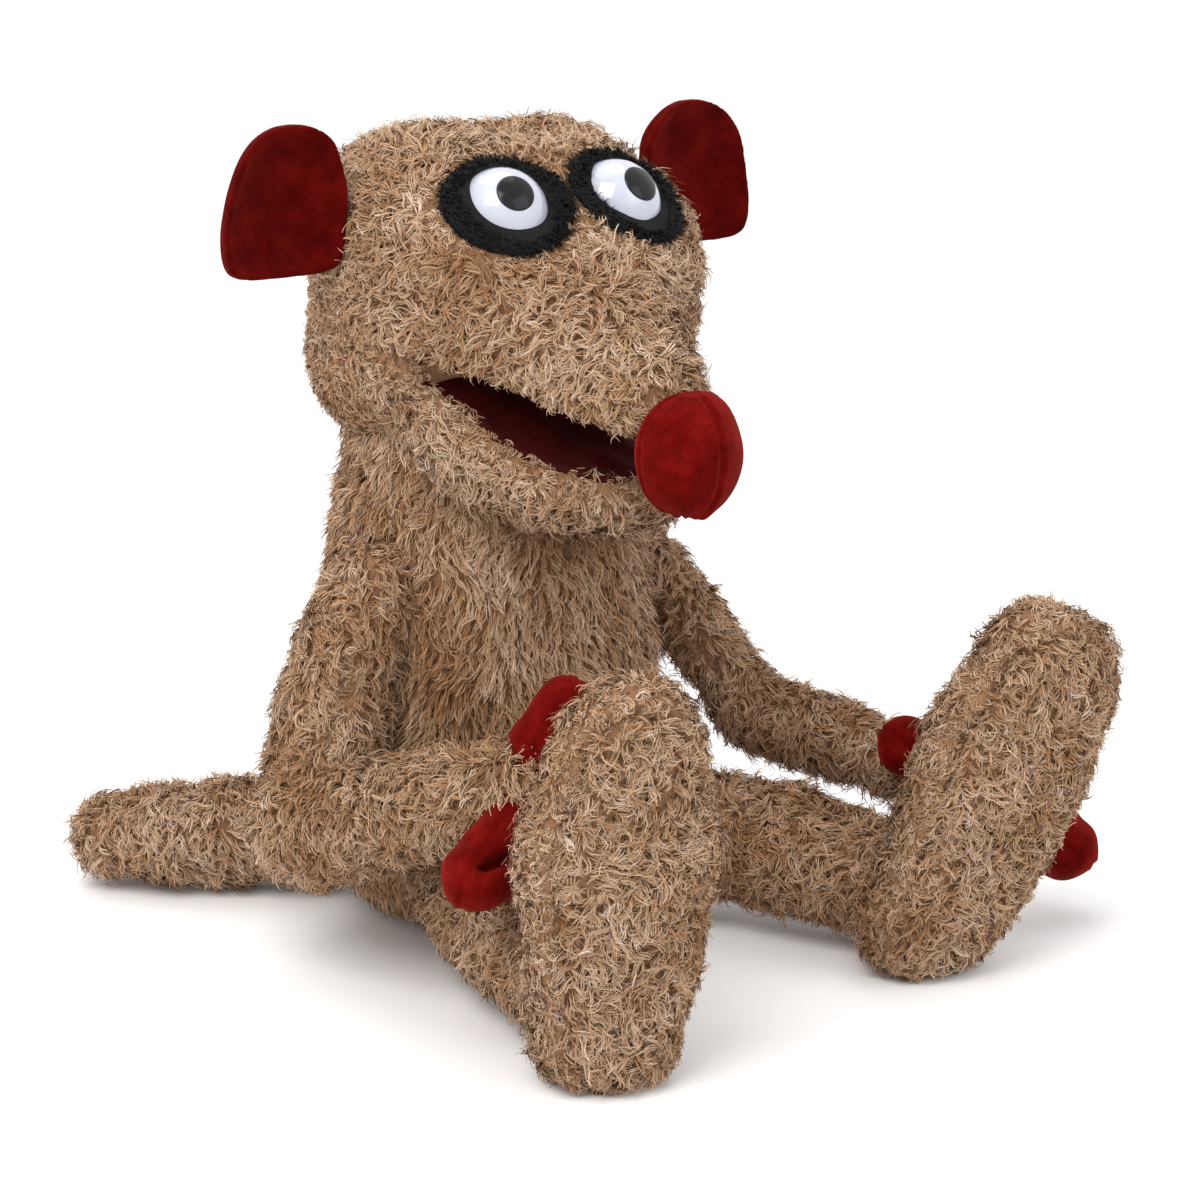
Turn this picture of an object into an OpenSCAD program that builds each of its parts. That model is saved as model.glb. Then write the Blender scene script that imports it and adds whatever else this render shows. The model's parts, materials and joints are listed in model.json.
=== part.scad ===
// Seated curly-plush animal: stuffed torso, turning head with an opening mouth,
// velboa ears, nose and hands, floppy arms and legs, and a short thick tail.
// The toy faces -Y, +X is its own left, +Z is up, and it sits on z = 0.

/* [Torso] */
// radius of the belly
belly_r = 61; // [59:0.5:62]
// radius of the torso at the shoulders
chest_r = 51; // [50:0.5:51.5]
// height of the cut where the neck begins
torso_top = 160; // [159:0.5:161]

/* [Head] */
// turn of the head to the toy's right, in degrees
head_yaw = 7; // [5:1:8]
// half the distance between the two lobes of the crown
crown_half = 24; // [22:0.5:25]
// radius of the crown lobes
crown_r = 39; // [38:0.5:40]
// radius of the tip of the muzzle
muzzle_tip_r = 22; // [21:0.5:23]

/* [Eyes] */
// radius of the plastic dome
eye_r = 16; // [15:0.5:17]
// radius of the black pupil
pupil_r = 6.5; // [5:0.5:8]

/* [Nose and ears] */
// half width of the nose
nose_half_w = 18.5; // [17:0.5:19]
// half height of the nose
nose_half_h = 21.5; // [20:0.5:22]
// half width of an ear
ear_half_w = 23; // [21:0.5:23.5]
// half height of an ear
ear_half_h = 28; // [26:0.5:29]

/* [Limbs] */
// radius of the right upper arm at its thickest
arm_r = 18.5; // [17.5:0.5:19]
// radius of the left upper arm, which is stretched and flatter
slack_arm_r = 12; // [11:0.5:13]
// radius of the leg at the hip
hip_r = 23; // [22:0.5:23.5]
// half width of the foot at the toes
toe_r = 31; // [29:0.5:31.5]
// radius of the tail near its root
tail_r = 17.5; // [16.5:0.5:18]

/* [Fabric] */
// thickness of the plush backing together with its matted pile
wall = 3; // [2.5:0.25:3.5]

/* [Hidden] */
fit_gap = 0.15;      // between two pieces sewn or stuffed together
swing_gap = 1;       // between two pieces that move on each other
foot_fn = 18;        // facets round a foot
skin_fn = 22;        // facets round a large skin
limb_fn = 14;        // facets round a limb or a filling
smooth_fn = 48;      // facets round a hard or turned piece
big = 200;           // larger than any piece

head_roll = 2;

// ---- torso outline, from the seat to the neck: [x, y, z, radius]
torso_line = [
    [0, 8, 52, belly_r],
    [0, 7.5, 84, belly_r - 3.5],
    [0, 6, 114, chest_r + 3],
    [0, 5, 140, chest_r + 0.5],
    [0, 5, 162, chest_r]
];
seat_r = 28;
seat_h = 2;

// ---- joint centres
nod_centre = [0, 5, 198];
nod_r = 44;
tail_line = [
    [-28, 52, 25, tail_r],
    [-44, 68, 24, tail_r],
    [-60, 83, 22.5, tail_r],
    [-76, 99, 21, tail_r - 1],
    [-91, 115, 19, tail_r - 2.5]
];
tail_swing = 20;     // degrees the tail wags to either side

// right side of the body is side = -1, left side is side = 1
function hip(side) = [side * 38, -34, 30];
function ankle(side) = side > 0 ? [79, -129, 24] : [-71, -126, 24];
function leg_line(side) = let (lift = side > 0 ? 4 : 0) [
    [each hip(side), hip_r],
    [each mix(hip(side), ankle(side), 0.28) + [side * 2, 0, lift], hip_r - 2],
    [each mix(hip(side), ankle(side), 0.54) + [side * 3, 0, lift], hip_r - 3],
    [each mix(hip(side), ankle(side), 0.78) + [side, 0, lift / 2], hip_r - 4],
    [each ankle(side), hip_r - 3.5]
];
// lean forward, lean sideways and turn of a foot about its ankle, in degrees
function foot_turn(side) = side > 0 ? [3, 25, -18] : [4, 2, -21];

function shoulder(side) = [side * 57, -2, 136];
function elbow(side) = side > 0 ? [90, -43, 67] : [-84, 0, 51];
function wrist(side) = side > 0 ? [107, -98, 57] : [-78, -92, 86];
function sleeve_r(side) = side > 0 ? slack_arm_r : arm_r;
function cuff_r(side) = side > 0 ? 11 : 14;
function palm_r(side) = side > 0 ? 10.5 : 12;
function upper_arm_line(side) = let (a = shoulder(side), b = elbow(side), r = sleeve_r(side)) [
    [each a, r * 0.84],
    [each mix(a, b, 0.25) + [side * 2, 2, 0], r * 0.92],
    [each mix(a, b, 0.5) + [side * 3, 3, 0], r - 0.5],
    [each mix(a, b, 0.7) + [side * 2, 2, 0], r],
    [each mix(a, b, 0.86), r - 0.5]
];
function forearm_line(side) = let (a = elbow(side), b = wrist(side), r = sleeve_r(side)) [
    [each a, r + 0.5],
    [each mix(a, b, 0.25), mix(r, cuff_r(side), 0.3)],
    [each mix(a, b, 0.5), mix(r, cuff_r(side), 0.6)],
    [each mix(a, b, 0.7), mix(r, cuff_r(side), 0.8)],
    [each mix(a, b, 0.86), cuff_r(side)]
];
function mix(a, b, t) = a * (1 - t) + b * t;

// ---- head outline in the frame of the head
crown_lines = [
    for (s = [-1, 1]) [
        [s * crown_half, 12, 212, crown_r],
        [s * crown_half, 9, 250, crown_r],
        [s * crown_half * 0.9, -19, 246, crown_r - 4],
        [s * crown_half, -14, 222, crown_r],
        [s * crown_half, 12, 212, crown_r]
    ]
];
muzzle_root = [20, -38, 232];
muzzle_root_r = 33;
muzzle_tip = [0, -88, 208];
mouth_corner = [0, -30, 216];
jaw_hinge = [0, -30, 210];
floor_corner = [0, -34, 208];
palate_slope = 16;       // degrees down toward the nose
floor_slope = 24;
lining = 2;
lining_inset = 0.6;      // the lining ends this far inside the plush
wall_low = 189;          // lower edge of the wall behind the mouth
eye_seat = [24, -41, 268];
eye_tilt = [52, 0, 9];   // turns +Z of an eye to its looking direction
nose_centre = [0, -118, 196];
ear_root = [67, 2, 266];

tan_plush = "#BE9673";
red_velboa = "#A81C20";
black_plush = "#1A1818";
filling = "#F2F0EA";
eye_white = "#F4F4FA";
maroon = "#4A0A10";

// ---------------------------------------------------------------- shapes

// soft tube through spheres given as [x, y, z, radius]; grow < 0 shrinks it
module soft_tube(line, grow = 0, fn = limb_fn) {
    for (i = [0:len(line) - 2])
        hull() {
            for (p = [line[i], line[i + 1]])
                translate([p[0], p[1], p[2]]) sphere(r = p[3] + grow, $fn = fn);
        }
}

// opening at the sewn end of a tube, through which it was turned and stuffed
module sewing_hole(from, toward, r) {
    d = toward - from;
    length = norm([d[0], d[1], d[2]]);
    translate([from[0], from[1], from[2]])
        rotate([0, acos(d[2] / length), atan2(d[1], d[0])])
            translate([0, 0, -from[3] - 1]) cylinder(r = r, h = from[3], $fn = 12);
}

module tube_skin(line, fn = limb_fn) {
    difference() {
        soft_tube(line, 0, fn);
        soft_tube(line, -wall, fn);
        sewing_hole(line[0], line[1], line[0][3] * 0.4);
    }
}

module tube_stuffing(line, fn = limb_fn) {
    soft_tube(line, -wall - fit_gap, fn);
}

module at_head() {
    translate(nod_centre) rotate([0, 0, -head_yaw]) rotate([0, head_roll, 0])
        translate(-nod_centre) children();
}

// ---------------------------------------------------------------- torso

module hip_room(side) {
    a = hip(side);
    b = mix(hip(side), ankle(side), 0.42);
    hull() {
        translate(a) sphere(r = hip_r + swing_gap, $fn = skin_fn);
        translate(b) sphere(r = hip_r + 8, $fn = skin_fn);
    }
}

// root of the tail in the poses it can take
module tail_room() {
    root = [tail_line[0][0], tail_line[0][1], tail_line[0][2]];
    for (swing = [-tail_swing, -tail_swing / 2, 0, tail_swing / 2, tail_swing])
        translate(root) rotate([0, 0, swing]) translate(-root)
            soft_tube([tail_line[0], tail_line[1], tail_line[2]], swing_gap);
}

module limb_rooms() {
    for (side = [-1, 1]) {
        hip_room(side);
        soft_tube(upper_arm_line(side), swing_gap);
    }
    tail_room();
}

// the part of a shape between two heights
module slice(low, high) {
    intersection() {
        children();
        translate([-big, -big, low]) cube([2 * big, 2 * big, high - low]);
    }
}

module torso_skin() {
    color(tan_plush) difference() {
        slice(0, torso_top) soft_tube(torso_line, 0, skin_fn);
        soft_tube(torso_line, -wall, limb_fn);
        translate([0, 8, -1]) cylinder(r = seat_r + fit_gap, h = seat_h + wall + 4, $fn = 36);
        limb_rooms();
    }
}

module torso_stuffing() {
    color(filling) difference() {
        slice(seat_h + fit_gap, torso_top) soft_tube(torso_line, -wall - fit_gap - 0.4, limb_fn);
        limb_rooms();
        translate([0, 8, 0]) cylinder(r = seat_r - 3, h = pellet_top + fit_gap, $fn = skin_fn);
    }
}
pellet_top = 30;

module seat_panel() {
    color(tan_plush) translate([0, 8, 0]) cylinder(r = seat_r, h = seat_h, $fn = smooth_fn);
}

module pellet_bag() {
    color(filling) translate([0, 8, seat_h + fit_gap])
        rotate_extrude($fn = smooth_fn)
            polygon([[0, 0], [20, 0], [24, 5], [24, 22], [19, 27], [0, 27.5]]);
}

// ---------------------------------------------------------------- neck

// collar of cloth that turns on the torso; its ball carries the head
neck_z = torso_top + 0.5;
collar_r = chest_r - 2;
collar_h = 2.5;
band_share = 0.3;    // part of a change in size that goes into the height of the band
ball_angle = 35;     // degrees below its equator where the ball meets the collar

module neck_solid(grow) {
    low_r = (nod_r + grow) * cos(ball_angle);
    low_z = nod_centre[2] - (nod_r + grow) * sin(ball_angle);
    band_h = collar_h + grow * band_share;
    translate([0, nod_centre[1], neck_z])
        cylinder(r = collar_r + grow, h = band_h, $fn = smooth_fn);
    translate([0, nod_centre[1], neck_z + band_h])
        cylinder(r1 = collar_r + grow, r2 = low_r, h = low_z - neck_z - band_h, $fn = smooth_fn);
    translate(nod_centre) intersection() {
        sphere(r = nod_r + grow, $fn = smooth_fn);
        translate([-big, -big, low_z - nod_centre[2]]) cube(2 * big);
    }
}

module neck_skin() {
    color(tan_plush) difference() {
        neck_solid(0);
        neck_solid(-wall);
        translate([0, nod_centre[1], neck_z - 1])
            cylinder(r = collar_r - wall, h = 3, $fn = smooth_fn);
    }
}

module neck_stuffing() {
    color(filling) slice(neck_z, big + nod_centre[2]) neck_solid(-wall - fit_gap);
}

// ---------------------------------------------------------------- head

module crown(grow = 0, fn = skin_fn) {
    for (i = [0:3])
        hull() {
            for (line = crown_lines, p = [line[i], line[i + 1]])
                translate([p[0], p[1], p[2]]) sphere(r = p[3] + grow, $fn = fn);
        }
    for (line = crown_lines) soft_tube(line, grow, fn);
    hull() {
        for (line = crown_lines, p = line)
            translate([p[0], p[1], p[2]]) sphere(r = p[3] + grow, $fn = fn);
    }
}

module muzzle(grow = 0, fn = skin_fn) {
    hull() {
        for (s = [-1, 1])
            translate([s * muzzle_root[0], muzzle_root[1], muzzle_root[2]])
                sphere(r = muzzle_root_r + grow, $fn = fn);
        translate(muzzle_tip) sphere(r = muzzle_tip_r + grow, $fn = fn);
    }
}

// space in front of the mouth corners and below a plane that slopes to the nose
module below_mouth(lift = 0) {
    translate(mouth_corner) rotate([palate_slope, 0, 0])
        translate([-big, -big, lift - big]) cube([2 * big, big, big]);
    translate([-big, mouth_corner[1] - big, 0]) cube([2 * big, big, mouth_corner[2] - 8]);
}

// space above the floor of the mouth, measured square to it
module above_floor(lift = 0) {
    translate(floor_corner) rotate([floor_slope, 0, 0])
        translate([-big, -big, lift]) cube([2 * big, 2 * big, big]);
}

module neck_room() {
    translate(nod_centre) sphere(r = nod_r + swing_gap, $fn = 32);
    translate([-big, -big, 0]) cube([2 * big, 2 * big, head_low]);
}
head_low = nod_centre[2] - 15;

module place_eye(side) {
    translate([side * eye_seat[0], eye_seat[1], eye_seat[2]])
        rotate([eye_tilt[0], 0, 0]) rotate([0, side * eye_tilt[2], 0]) children();
}

eye_sink = 3;
stem_r = 2.4;
stem_h = 11;
washer_r = 8;
washer_h = 1.6;

module eye_room(side) {
    place_eye(side) {
        translate([0, 0, -eye_sink]) sphere(r = eye_r + 0.3, $fn = skin_fn);
        translate([0, 0, -stem_h - washer_h - 1]) cylinder(r = stem_r + 0.3, h = stem_h, $fn = 12);
        translate([0, 0, -stem_h - washer_h - 0.5])
            cylinder(r = washer_r + 0.4, h = washer_h + 1, $fn = skin_fn);
    }
}

module head_skin() {
    color(tan_plush) at_head() difference() {
        crown();
        difference() {
            crown(-wall, limb_fn);
            translate([-big, -big, 0]) cube([2 * big, 2 * big, head_low + wall]);
        }
        below_mouth(lining + fit_gap);
        neck_room();
        for (side = [-1, 1]) eye_room(side);
    }
}

module head_stuffing() {
    color(filling) at_head() difference() {
        crown(-wall - fit_gap - 0.4, limb_fn);
        below_mouth(wall);
        translate([-big, mouth_corner[1] - big + wall, 0]) cube([2 * big, big, mouth_corner[2] - 5]);
        neck_room();
        translate([-big, -big, 0]) cube([2 * big, 2 * big, head_low + wall + fit_gap]);
        for (side = [-1, 1]) eye_room(side);
    }
}

// the muzzle is sewn on in front of the crown
module muzzle_room() {
    crown(fit_gap);
    below_mouth(lining + fit_gap);
    translate(nose_centre) nose_ball(fit_gap, skin_fn);
    for (side = [-1, 1]) eye_room(side);
}

module muzzle_skin() {
    color(tan_plush) at_head() difference() {
        muzzle();
        muzzle(-wall, limb_fn);
        muzzle_room();
    }
}

module muzzle_stuffing() {
    color(filling) at_head() difference() {
        muzzle(-wall - fit_gap - 0.4, limb_fn);
        muzzle_room();
    }
}

// roof of the mouth and the short wall behind it
module palate_lining() {
    color(maroon) at_head() difference() {
        intersection() {
            union() {
                muzzle(-lining_inset, limb_fn);
                crown(-lining_inset, limb_fn);
            }
            union() {
                translate(mouth_corner) rotate([palate_slope, 0, 0])
                    translate([-big, -big, 0]) cube([2 * big, big - fit_gap, lining]);
                translate([-big, mouth_corner[1] - lining, wall_low])
                    cube([2 * big, lining - fit_gap, mouth_corner[2] - wall_low]);
            }
        }
        neck_room();
        translate(nose_centre) nose_ball(fit_gap, skin_fn);
    }
}

module nose_ball(grow = 0, fn = smooth_fn) {
    scale([nose_half_w + grow, nose_half_w - 1 + grow, nose_half_h + grow] / nose_half_h)
        sphere(r = nose_half_h, $fn = fn);
}

module nose() {
    color(red_velboa) at_head() translate(nose_centre) nose_ball();
}

// ---------------------------------------------------------------- eyes

patch_w = 24;
patch_h = 21;
patch_t = 1.6;

module patch_outline() {
    translate([0, 0, -12]) scale([1, patch_h / patch_w, 1])
        cylinder(r = patch_w, h = 30, $fn = 32);
}

module eye_patch(side) {
    color(black_plush) at_head() difference() {
        intersection() {
            union() {
                crown(patch_t);
                muzzle(patch_t);
            }
            place_eye(side) patch_outline();
            translate([side > 0 ? 0.4 : -big, -big, 0]) cube([big - 0.4, 2 * big, 2 * big]);
        }
        crown(fit_gap);
        muzzle(fit_gap);
        eye_room(side);
    }
}

module eye(side) {
    color(eye_white) at_head() place_eye(side) {
        difference() {
            translate([0, 0, -eye_sink]) sphere(r = eye_r, $fn = smooth_fn);
            translate([-big / 2, -big / 2, -big - 2]) cube([big, big, big]);
        }
        translate([0, 0, -stem_h - washer_h]) cylinder(r = stem_r, h = stem_h + washer_h - 1.5, $fn = smooth_fn);
    }
}

module pupil(side) {
    color(black_plush) at_head() place_eye(side) difference() {
        intersection() {
            translate([0, 0, -eye_sink]) sphere(r = eye_r + 0.6, $fn = smooth_fn);
            cylinder(r = pupil_r, h = 2 * eye_r, $fn = smooth_fn);
        }
        translate([0, 0, -eye_sink]) sphere(r = eye_r + 0.02, $fn = smooth_fn);
    }
}

module eye_washer(side) {
    color(eye_white) at_head() place_eye(side) translate([0, 0, -stem_h - washer_h])
        difference() {
            cylinder(r = washer_r, h = washer_h, $fn = smooth_fn);
            translate([0, 0, -1]) cylinder(r = stem_r + 0.1, h = washer_h + 2, $fn = smooth_fn);
        }
}

// ---------------------------------------------------------------- jaw

jaw_line_half = [
    [33, -38, 189, 19],
    [27, -48, 185, 18.5],
    [20, -60, 181, 18],
    [13, -70, 179, 17],
    [6, -77, 178, 16]
];

module jaw_solid(grow = 0, fn = limb_fn) {
    for (i = [0:len(jaw_line_half) - 2])
        hull() {
            for (s = [-1, 1], p = [jaw_line_half[i], jaw_line_half[i + 1]])
                translate([s * p[0], p[1], p[2]]) sphere(r = p[3] + grow, $fn = fn);
        }
}

// space the jaw leaves free behind it for the cheeks and the neck
module jaw_back_room(grow = 0) {
    translate(jaw_hinge + [0, -5 - grow, 0]) rotate([-22, 0, 0])
        translate([-big, 0, -big]) cube([2 * big, big, 2 * big]);
    translate(nod_centre + [0, 0, -14]) sphere(r = nod_r + 14 + grow, $fn = 32);
}

jaw_seam = [0, -64, 176];

module jaw_skin() {
    color(tan_plush) at_head() difference() {
        jaw_solid();
        difference() {
            jaw_solid(-wall);
            above_floor(-lining - wall - 1);
        }
        above_floor(-lining - fit_gap);
        jaw_back_room();
        translate(jaw_seam) rotate([-60, 0, 0]) cylinder(r = 5, h = 30, $fn = 12);
    }
}

module jaw_stuffing() {
    color(filling) at_head() difference() {
        jaw_solid(-wall - fit_gap);
        above_floor(-lining - wall - 1 - fit_gap);
        jaw_back_room(wall);
    }
}

module jaw_lining() {
    color(maroon) at_head() difference() {
        intersection() {
            jaw_solid(-lining_inset);
            translate(floor_corner) rotate([floor_slope, 0, 0])
                translate([-big, -big, -lining]) cube([2 * big, 2 * big, lining]);
        }
        jaw_back_room();
    }
}

// ---------------------------------------------------------------- ears

ear_t = 4;

module ear_disc(side) {
    translate([side * (ear_root[0] + ear_half_w - 3), ear_root[1], ear_root[2]])
        scale([ear_half_w, ear_t, ear_half_h] / ear_half_h) sphere(r = ear_half_h, $fn = smooth_fn);
}

module ear_side(side, y0, y1) {
    translate([side > 0 ? ear_root[0] : -big, y0, 0])
        cube([big - ear_root[0], y1 - y0, 2 * big]);
}

module ear_front(side) {
    color(red_velboa) at_head() difference() {
        intersection() {
            ear_disc(side);
            ear_side(side, -big, ear_root[1] - 0.1);
        }
        translate([side * (ear_root[0] + ear_half_w - 2), ear_root[1] - 14, ear_root[2]])
            scale([1, 0.75, 1.3]) sphere(r = 16, $fn = smooth_fn);
    }
}

module ear_back(side) {
    color(red_velboa) at_head() intersection() {
        ear_disc(side);
        ear_side(side, ear_root[1] + 0.1, big);
    }
}

// ---------------------------------------------------------------- arms and hands

elbow_swing = [0, 14, 26];   // lift of the forearm, in degrees, that the sleeve leaves room for

// root of the forearm in the poses it can take
module elbow_room(side) {
    line = forearm_line(side);
    for (lift = elbow_swing)
        translate(elbow(side)) rotate([-lift, 0, 0]) translate(-elbow(side))
            soft_tube([line[0], line[1], line[2]], swing_gap);
}

module upper_arm_skin(side) {
    color(tan_plush) difference() {
        tube_skin(upper_arm_line(side));
        elbow_room(side);
    }
}

module upper_arm_stuffing(side) {
    color(filling) difference() {
        tube_stuffing(upper_arm_line(side));
        elbow_room(side);
    }
}

// root of the palm, flaring so that the wrist can flap
module wrist_room(side) {
    hull() {
        translate(wrist(side)) sphere(r = palm_r(side) + swing_gap, $fn = skin_fn);
        translate(palm_end(side)) sphere(r = palm_r(side) + 6, $fn = skin_fn);
    }
}

module forearm_skin(side) {
    color(tan_plush) difference() {
        tube_skin(forearm_line(side));
        wrist_room(side);
    }
}

module forearm_stuffing(side) {
    color(filling) difference() {
        tube_stuffing(forearm_line(side));
        wrist_room(side);
    }
}

function palm_end(side) = wrist(side) + (side > 0 ? [12, -20, -5] : [4, -14, 6]);
function thumb_line(side) = let (p = palm_end(side), d = side > 0 ? [-24, 2, 18] : [12, -2, 22]) [
    for (t = [0.1, 0.35, 0.6, 0.8, 1]) [each p + d * t, 8.5 + 2.5 * t]
];
function finger_line(side) = let (p = palm_end(side), d = side > 0 ? [32, -26, -27] : [-28, -4, -25]) [
    for (t = [0.1, 0.35, 0.6, 0.8, 1]) [each p + d * t, 9.5 + 2.5 * t]
];

module palm_solid(side, grow = 0) {
    soft_tube([
        [each wrist(side), palm_r(side)],
        [each mix(wrist(side), palm_end(side), 0.25), palm_r(side)],
        [each mix(wrist(side), palm_end(side), 0.5), palm_r(side)],
        [each mix(wrist(side), palm_end(side), 0.75), palm_r(side)],
        [each palm_end(side), palm_r(side)]
    ], grow);
}

module palm(side) {
    color(red_velboa) palm_solid(side);
}

module thumb(side) {
    color(red_velboa) difference() {
        soft_tube(thumb_line(side));
        palm_solid(side, fit_gap);
    }
}

module finger(side) {
    color(red_velboa) difference() {
        soft_tube(finger_line(side));
        palm_solid(side, fit_gap);
        soft_tube(thumb_line(side), fit_gap);
    }
}

// ---------------------------------------------------------------- legs and feet

module leg_skin(side) {
    color(tan_plush) tube_skin(leg_line(side));
}

module leg_stuffing(side) {
    color(filling) tube_stuffing(leg_line(side));
}

module at_foot(side) {
    translate(ankle(side)) rotate([0, 0, foot_turn(side)[2]])
        rotate([foot_turn(side)[0], 0, 0]) rotate([0, foot_turn(side)[1], 0]) children();
}

// discs of the foot from heel to toe in the frame of the foot: [y, z, radius, flatness]
foot_discs = [
    [-23, -2, 20, 0.85],
    [-25, 18, 24, 0.75],
    [-26, 42, 28, 0.65],
    [-26, 66, toe_r, 0.59],
    [-26, 88, toe_r - 3, 0.62]
];

module foot_solid(grow = 0) {
    for (i = [0:len(foot_discs) - 2])
        hull() {
            for (d = [foot_discs[i], foot_discs[i + 1]])
                translate([0, d[0], d[1]]) scale([1, (d[2] * d[3] + grow) / (d[2] + grow), 1])
                    sphere(r = d[2] + grow, $fn = foot_fn);
        }
}

sole_y = -34;        // the sole panel lies in front of this plane

module ankle_room(side) {
    r = leg_line(side)[4][3];
    sphere(r = r + swing_gap, $fn = 32);
    rotate([-90, 0, 0]) cylinder(r1 = r + swing_gap, r2 = r + 14, h = 26, $fn = skin_fn);
}

module foot_upper(side) {
    color(tan_plush) at_foot(side) difference() {
        foot_solid();
        foot_solid(-wall);
        translate([-big, sole_y - big, -big]) cube([2 * big, big, 2 * big]);
        ankle_room(side);
    }
}

module foot_sole(side) {
    color(tan_plush) at_foot(side) difference() {
        foot_solid();
        foot_solid(-wall);
        translate([-big, sole_y - fit_gap, -big]) cube([2 * big, 2 * big, 2 * big]);
    }
}

module foot_stuffing(side) {
    color(filling) at_foot(side) difference() {
        foot_solid(-wall - fit_gap);
        ankle_room(side);
    }
}

// ---------------------------------------------------------------- tail

module tail_skin() {
    color(tan_plush) tube_skin(tail_line);
}

module tail_stuffing() {
    color(filling) tube_stuffing(tail_line);
}

// ---------------------------------------------------------------- drawing

torso_skin();
torso_stuffing();
seat_panel();
pellet_bag();
neck_skin();
neck_stuffing();
head_skin();
head_stuffing();
muzzle_skin();
muzzle_stuffing();
palate_lining();
nose();
eye_patch(-1);  // eye_patch_R
eye_patch(1);  // eye_patch_L
eye(-1);  // eye_R
eye(1);  // eye_L
pupil(-1);  // pupil_R
pupil(1);  // pupil_L
eye_washer(-1);  // eye_washer_R
eye_washer(1);  // eye_washer_L
jaw_skin();
jaw_stuffing();
jaw_lining();
ear_front(-1);  // ear_front_R
ear_front(1);  // ear_front_L
ear_back(-1);  // ear_back_R
ear_back(1);  // ear_back_L
upper_arm_skin(-1);  // upper_arm_skin_R
upper_arm_skin(1);  // upper_arm_skin_L
upper_arm_stuffing(-1);  // upper_arm_stuffing_R
upper_arm_stuffing(1);  // upper_arm_stuffing_L
forearm_skin(-1);  // forearm_skin_R
forearm_skin(1);  // forearm_skin_L
forearm_stuffing(-1);  // forearm_stuffing_R
forearm_stuffing(1);  // forearm_stuffing_L
palm(-1);  // palm_R
palm(1);  // palm_L
thumb(-1);  // thumb_R
thumb(1);  // thumb_L
finger(-1);  // finger_R
finger(1);  // finger_L
leg_skin(-1);  // leg_skin_R
leg_skin(1);  // leg_skin_L
leg_stuffing(-1);  // leg_stuffing_R
leg_stuffing(1);  // leg_stuffing_L
foot_upper(-1);  // foot_upper_R
foot_upper(1);  // foot_upper_L
foot_sole(-1);  // foot_sole_R
foot_sole(1);  // foot_sole_L
foot_stuffing(-1);  // foot_stuffing_R
foot_stuffing(1);  // foot_stuffing_L
tail_skin();
tail_stuffing();
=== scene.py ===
"""Looks of the seated curly-plush animal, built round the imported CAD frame.

Every soft body is one smooth skin taken from a distance field that follows the CAD solids,
with its pile as real fibres on top. Lengths are in millimetres until a mesh is made.
"""
import json
import math

import bpy
import numpy as np
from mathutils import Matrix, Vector


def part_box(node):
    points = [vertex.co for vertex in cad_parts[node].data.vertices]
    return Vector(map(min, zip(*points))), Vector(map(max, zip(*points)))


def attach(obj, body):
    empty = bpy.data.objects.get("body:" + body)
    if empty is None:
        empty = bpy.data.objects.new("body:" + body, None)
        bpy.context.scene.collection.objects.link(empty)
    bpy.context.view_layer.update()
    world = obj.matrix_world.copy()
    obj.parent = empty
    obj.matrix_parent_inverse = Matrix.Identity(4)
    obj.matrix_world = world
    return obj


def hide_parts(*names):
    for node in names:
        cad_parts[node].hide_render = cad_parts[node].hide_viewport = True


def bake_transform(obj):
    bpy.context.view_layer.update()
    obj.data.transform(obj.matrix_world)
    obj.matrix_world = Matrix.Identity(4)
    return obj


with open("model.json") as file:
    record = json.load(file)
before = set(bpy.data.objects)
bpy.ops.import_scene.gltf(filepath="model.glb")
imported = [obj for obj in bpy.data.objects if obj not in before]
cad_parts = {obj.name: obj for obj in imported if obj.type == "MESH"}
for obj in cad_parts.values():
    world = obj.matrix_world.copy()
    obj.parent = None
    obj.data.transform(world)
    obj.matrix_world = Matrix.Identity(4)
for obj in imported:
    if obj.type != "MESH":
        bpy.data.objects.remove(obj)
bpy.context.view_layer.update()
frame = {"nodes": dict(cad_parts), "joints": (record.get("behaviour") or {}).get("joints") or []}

MM = 0.001
JOINTS = {j["name"]: j for j in frame["joints"]}
SIDES = (("R", -1.0), ("L", 1.0))


# -------- frame of the object
def pivot(joint):
    return np.array(JOINTS[joint]["pos_m"], float) / MM


def axis(joint):
    return np.array(JOINTS[joint]["axis"], float)


NOD = pivot("head_nod")
HEAD = np.stack(
    [-axis("head_nod"), np.cross(axis("ear_fold_R"), -axis("head_nod")), axis("ear_fold_R")], 1
)


def to_head(p):
    return (p - NOD) @ HEAD + NOD


def from_head(p):
    return (np.asarray(p, float) - NOD) @ HEAD.T + NOD


def turn(angles):
    """Rotation matrix of turns about X, then Y, in degrees, as columns."""
    ax, ay = np.radians(angles)
    rx = np.array([[1, 0, 0], [0, math.cos(ax), -math.sin(ax)], [0, math.sin(ax), math.cos(ax)]])
    ry = np.array([[math.cos(ay), 0, math.sin(ay)], [0, 1, 0], [-math.sin(ay), 0, math.cos(ay)]])
    return rx @ ry


def swung(p, joint, degrees):
    """Points turned about a joint from where they are at rest."""
    n, centre, angle = axis(joint), pivot(joint), math.radians(degrees)
    q = p - centre
    along = np.outer(q @ n, n)
    return centre + along + (q - along) * math.cos(angle) + np.cross(n, q) * math.sin(angle)


def unit(v):
    v = np.asarray(v, float)
    return v / np.maximum(np.linalg.norm(v, axis=-1, keepdims=True), 1e-9)


def mix(a, b, t):
    return np.asarray(a) * (1 - t) + np.asarray(b) * t


# -------- distance fields
def smin(a, b, k):
    h = np.maximum(k - np.abs(a - b), 0.0)
    return np.minimum(a, b) - h * h / (4.0 * k)


def smax(a, b, k):
    return -smin(-a, -b, k)


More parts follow.
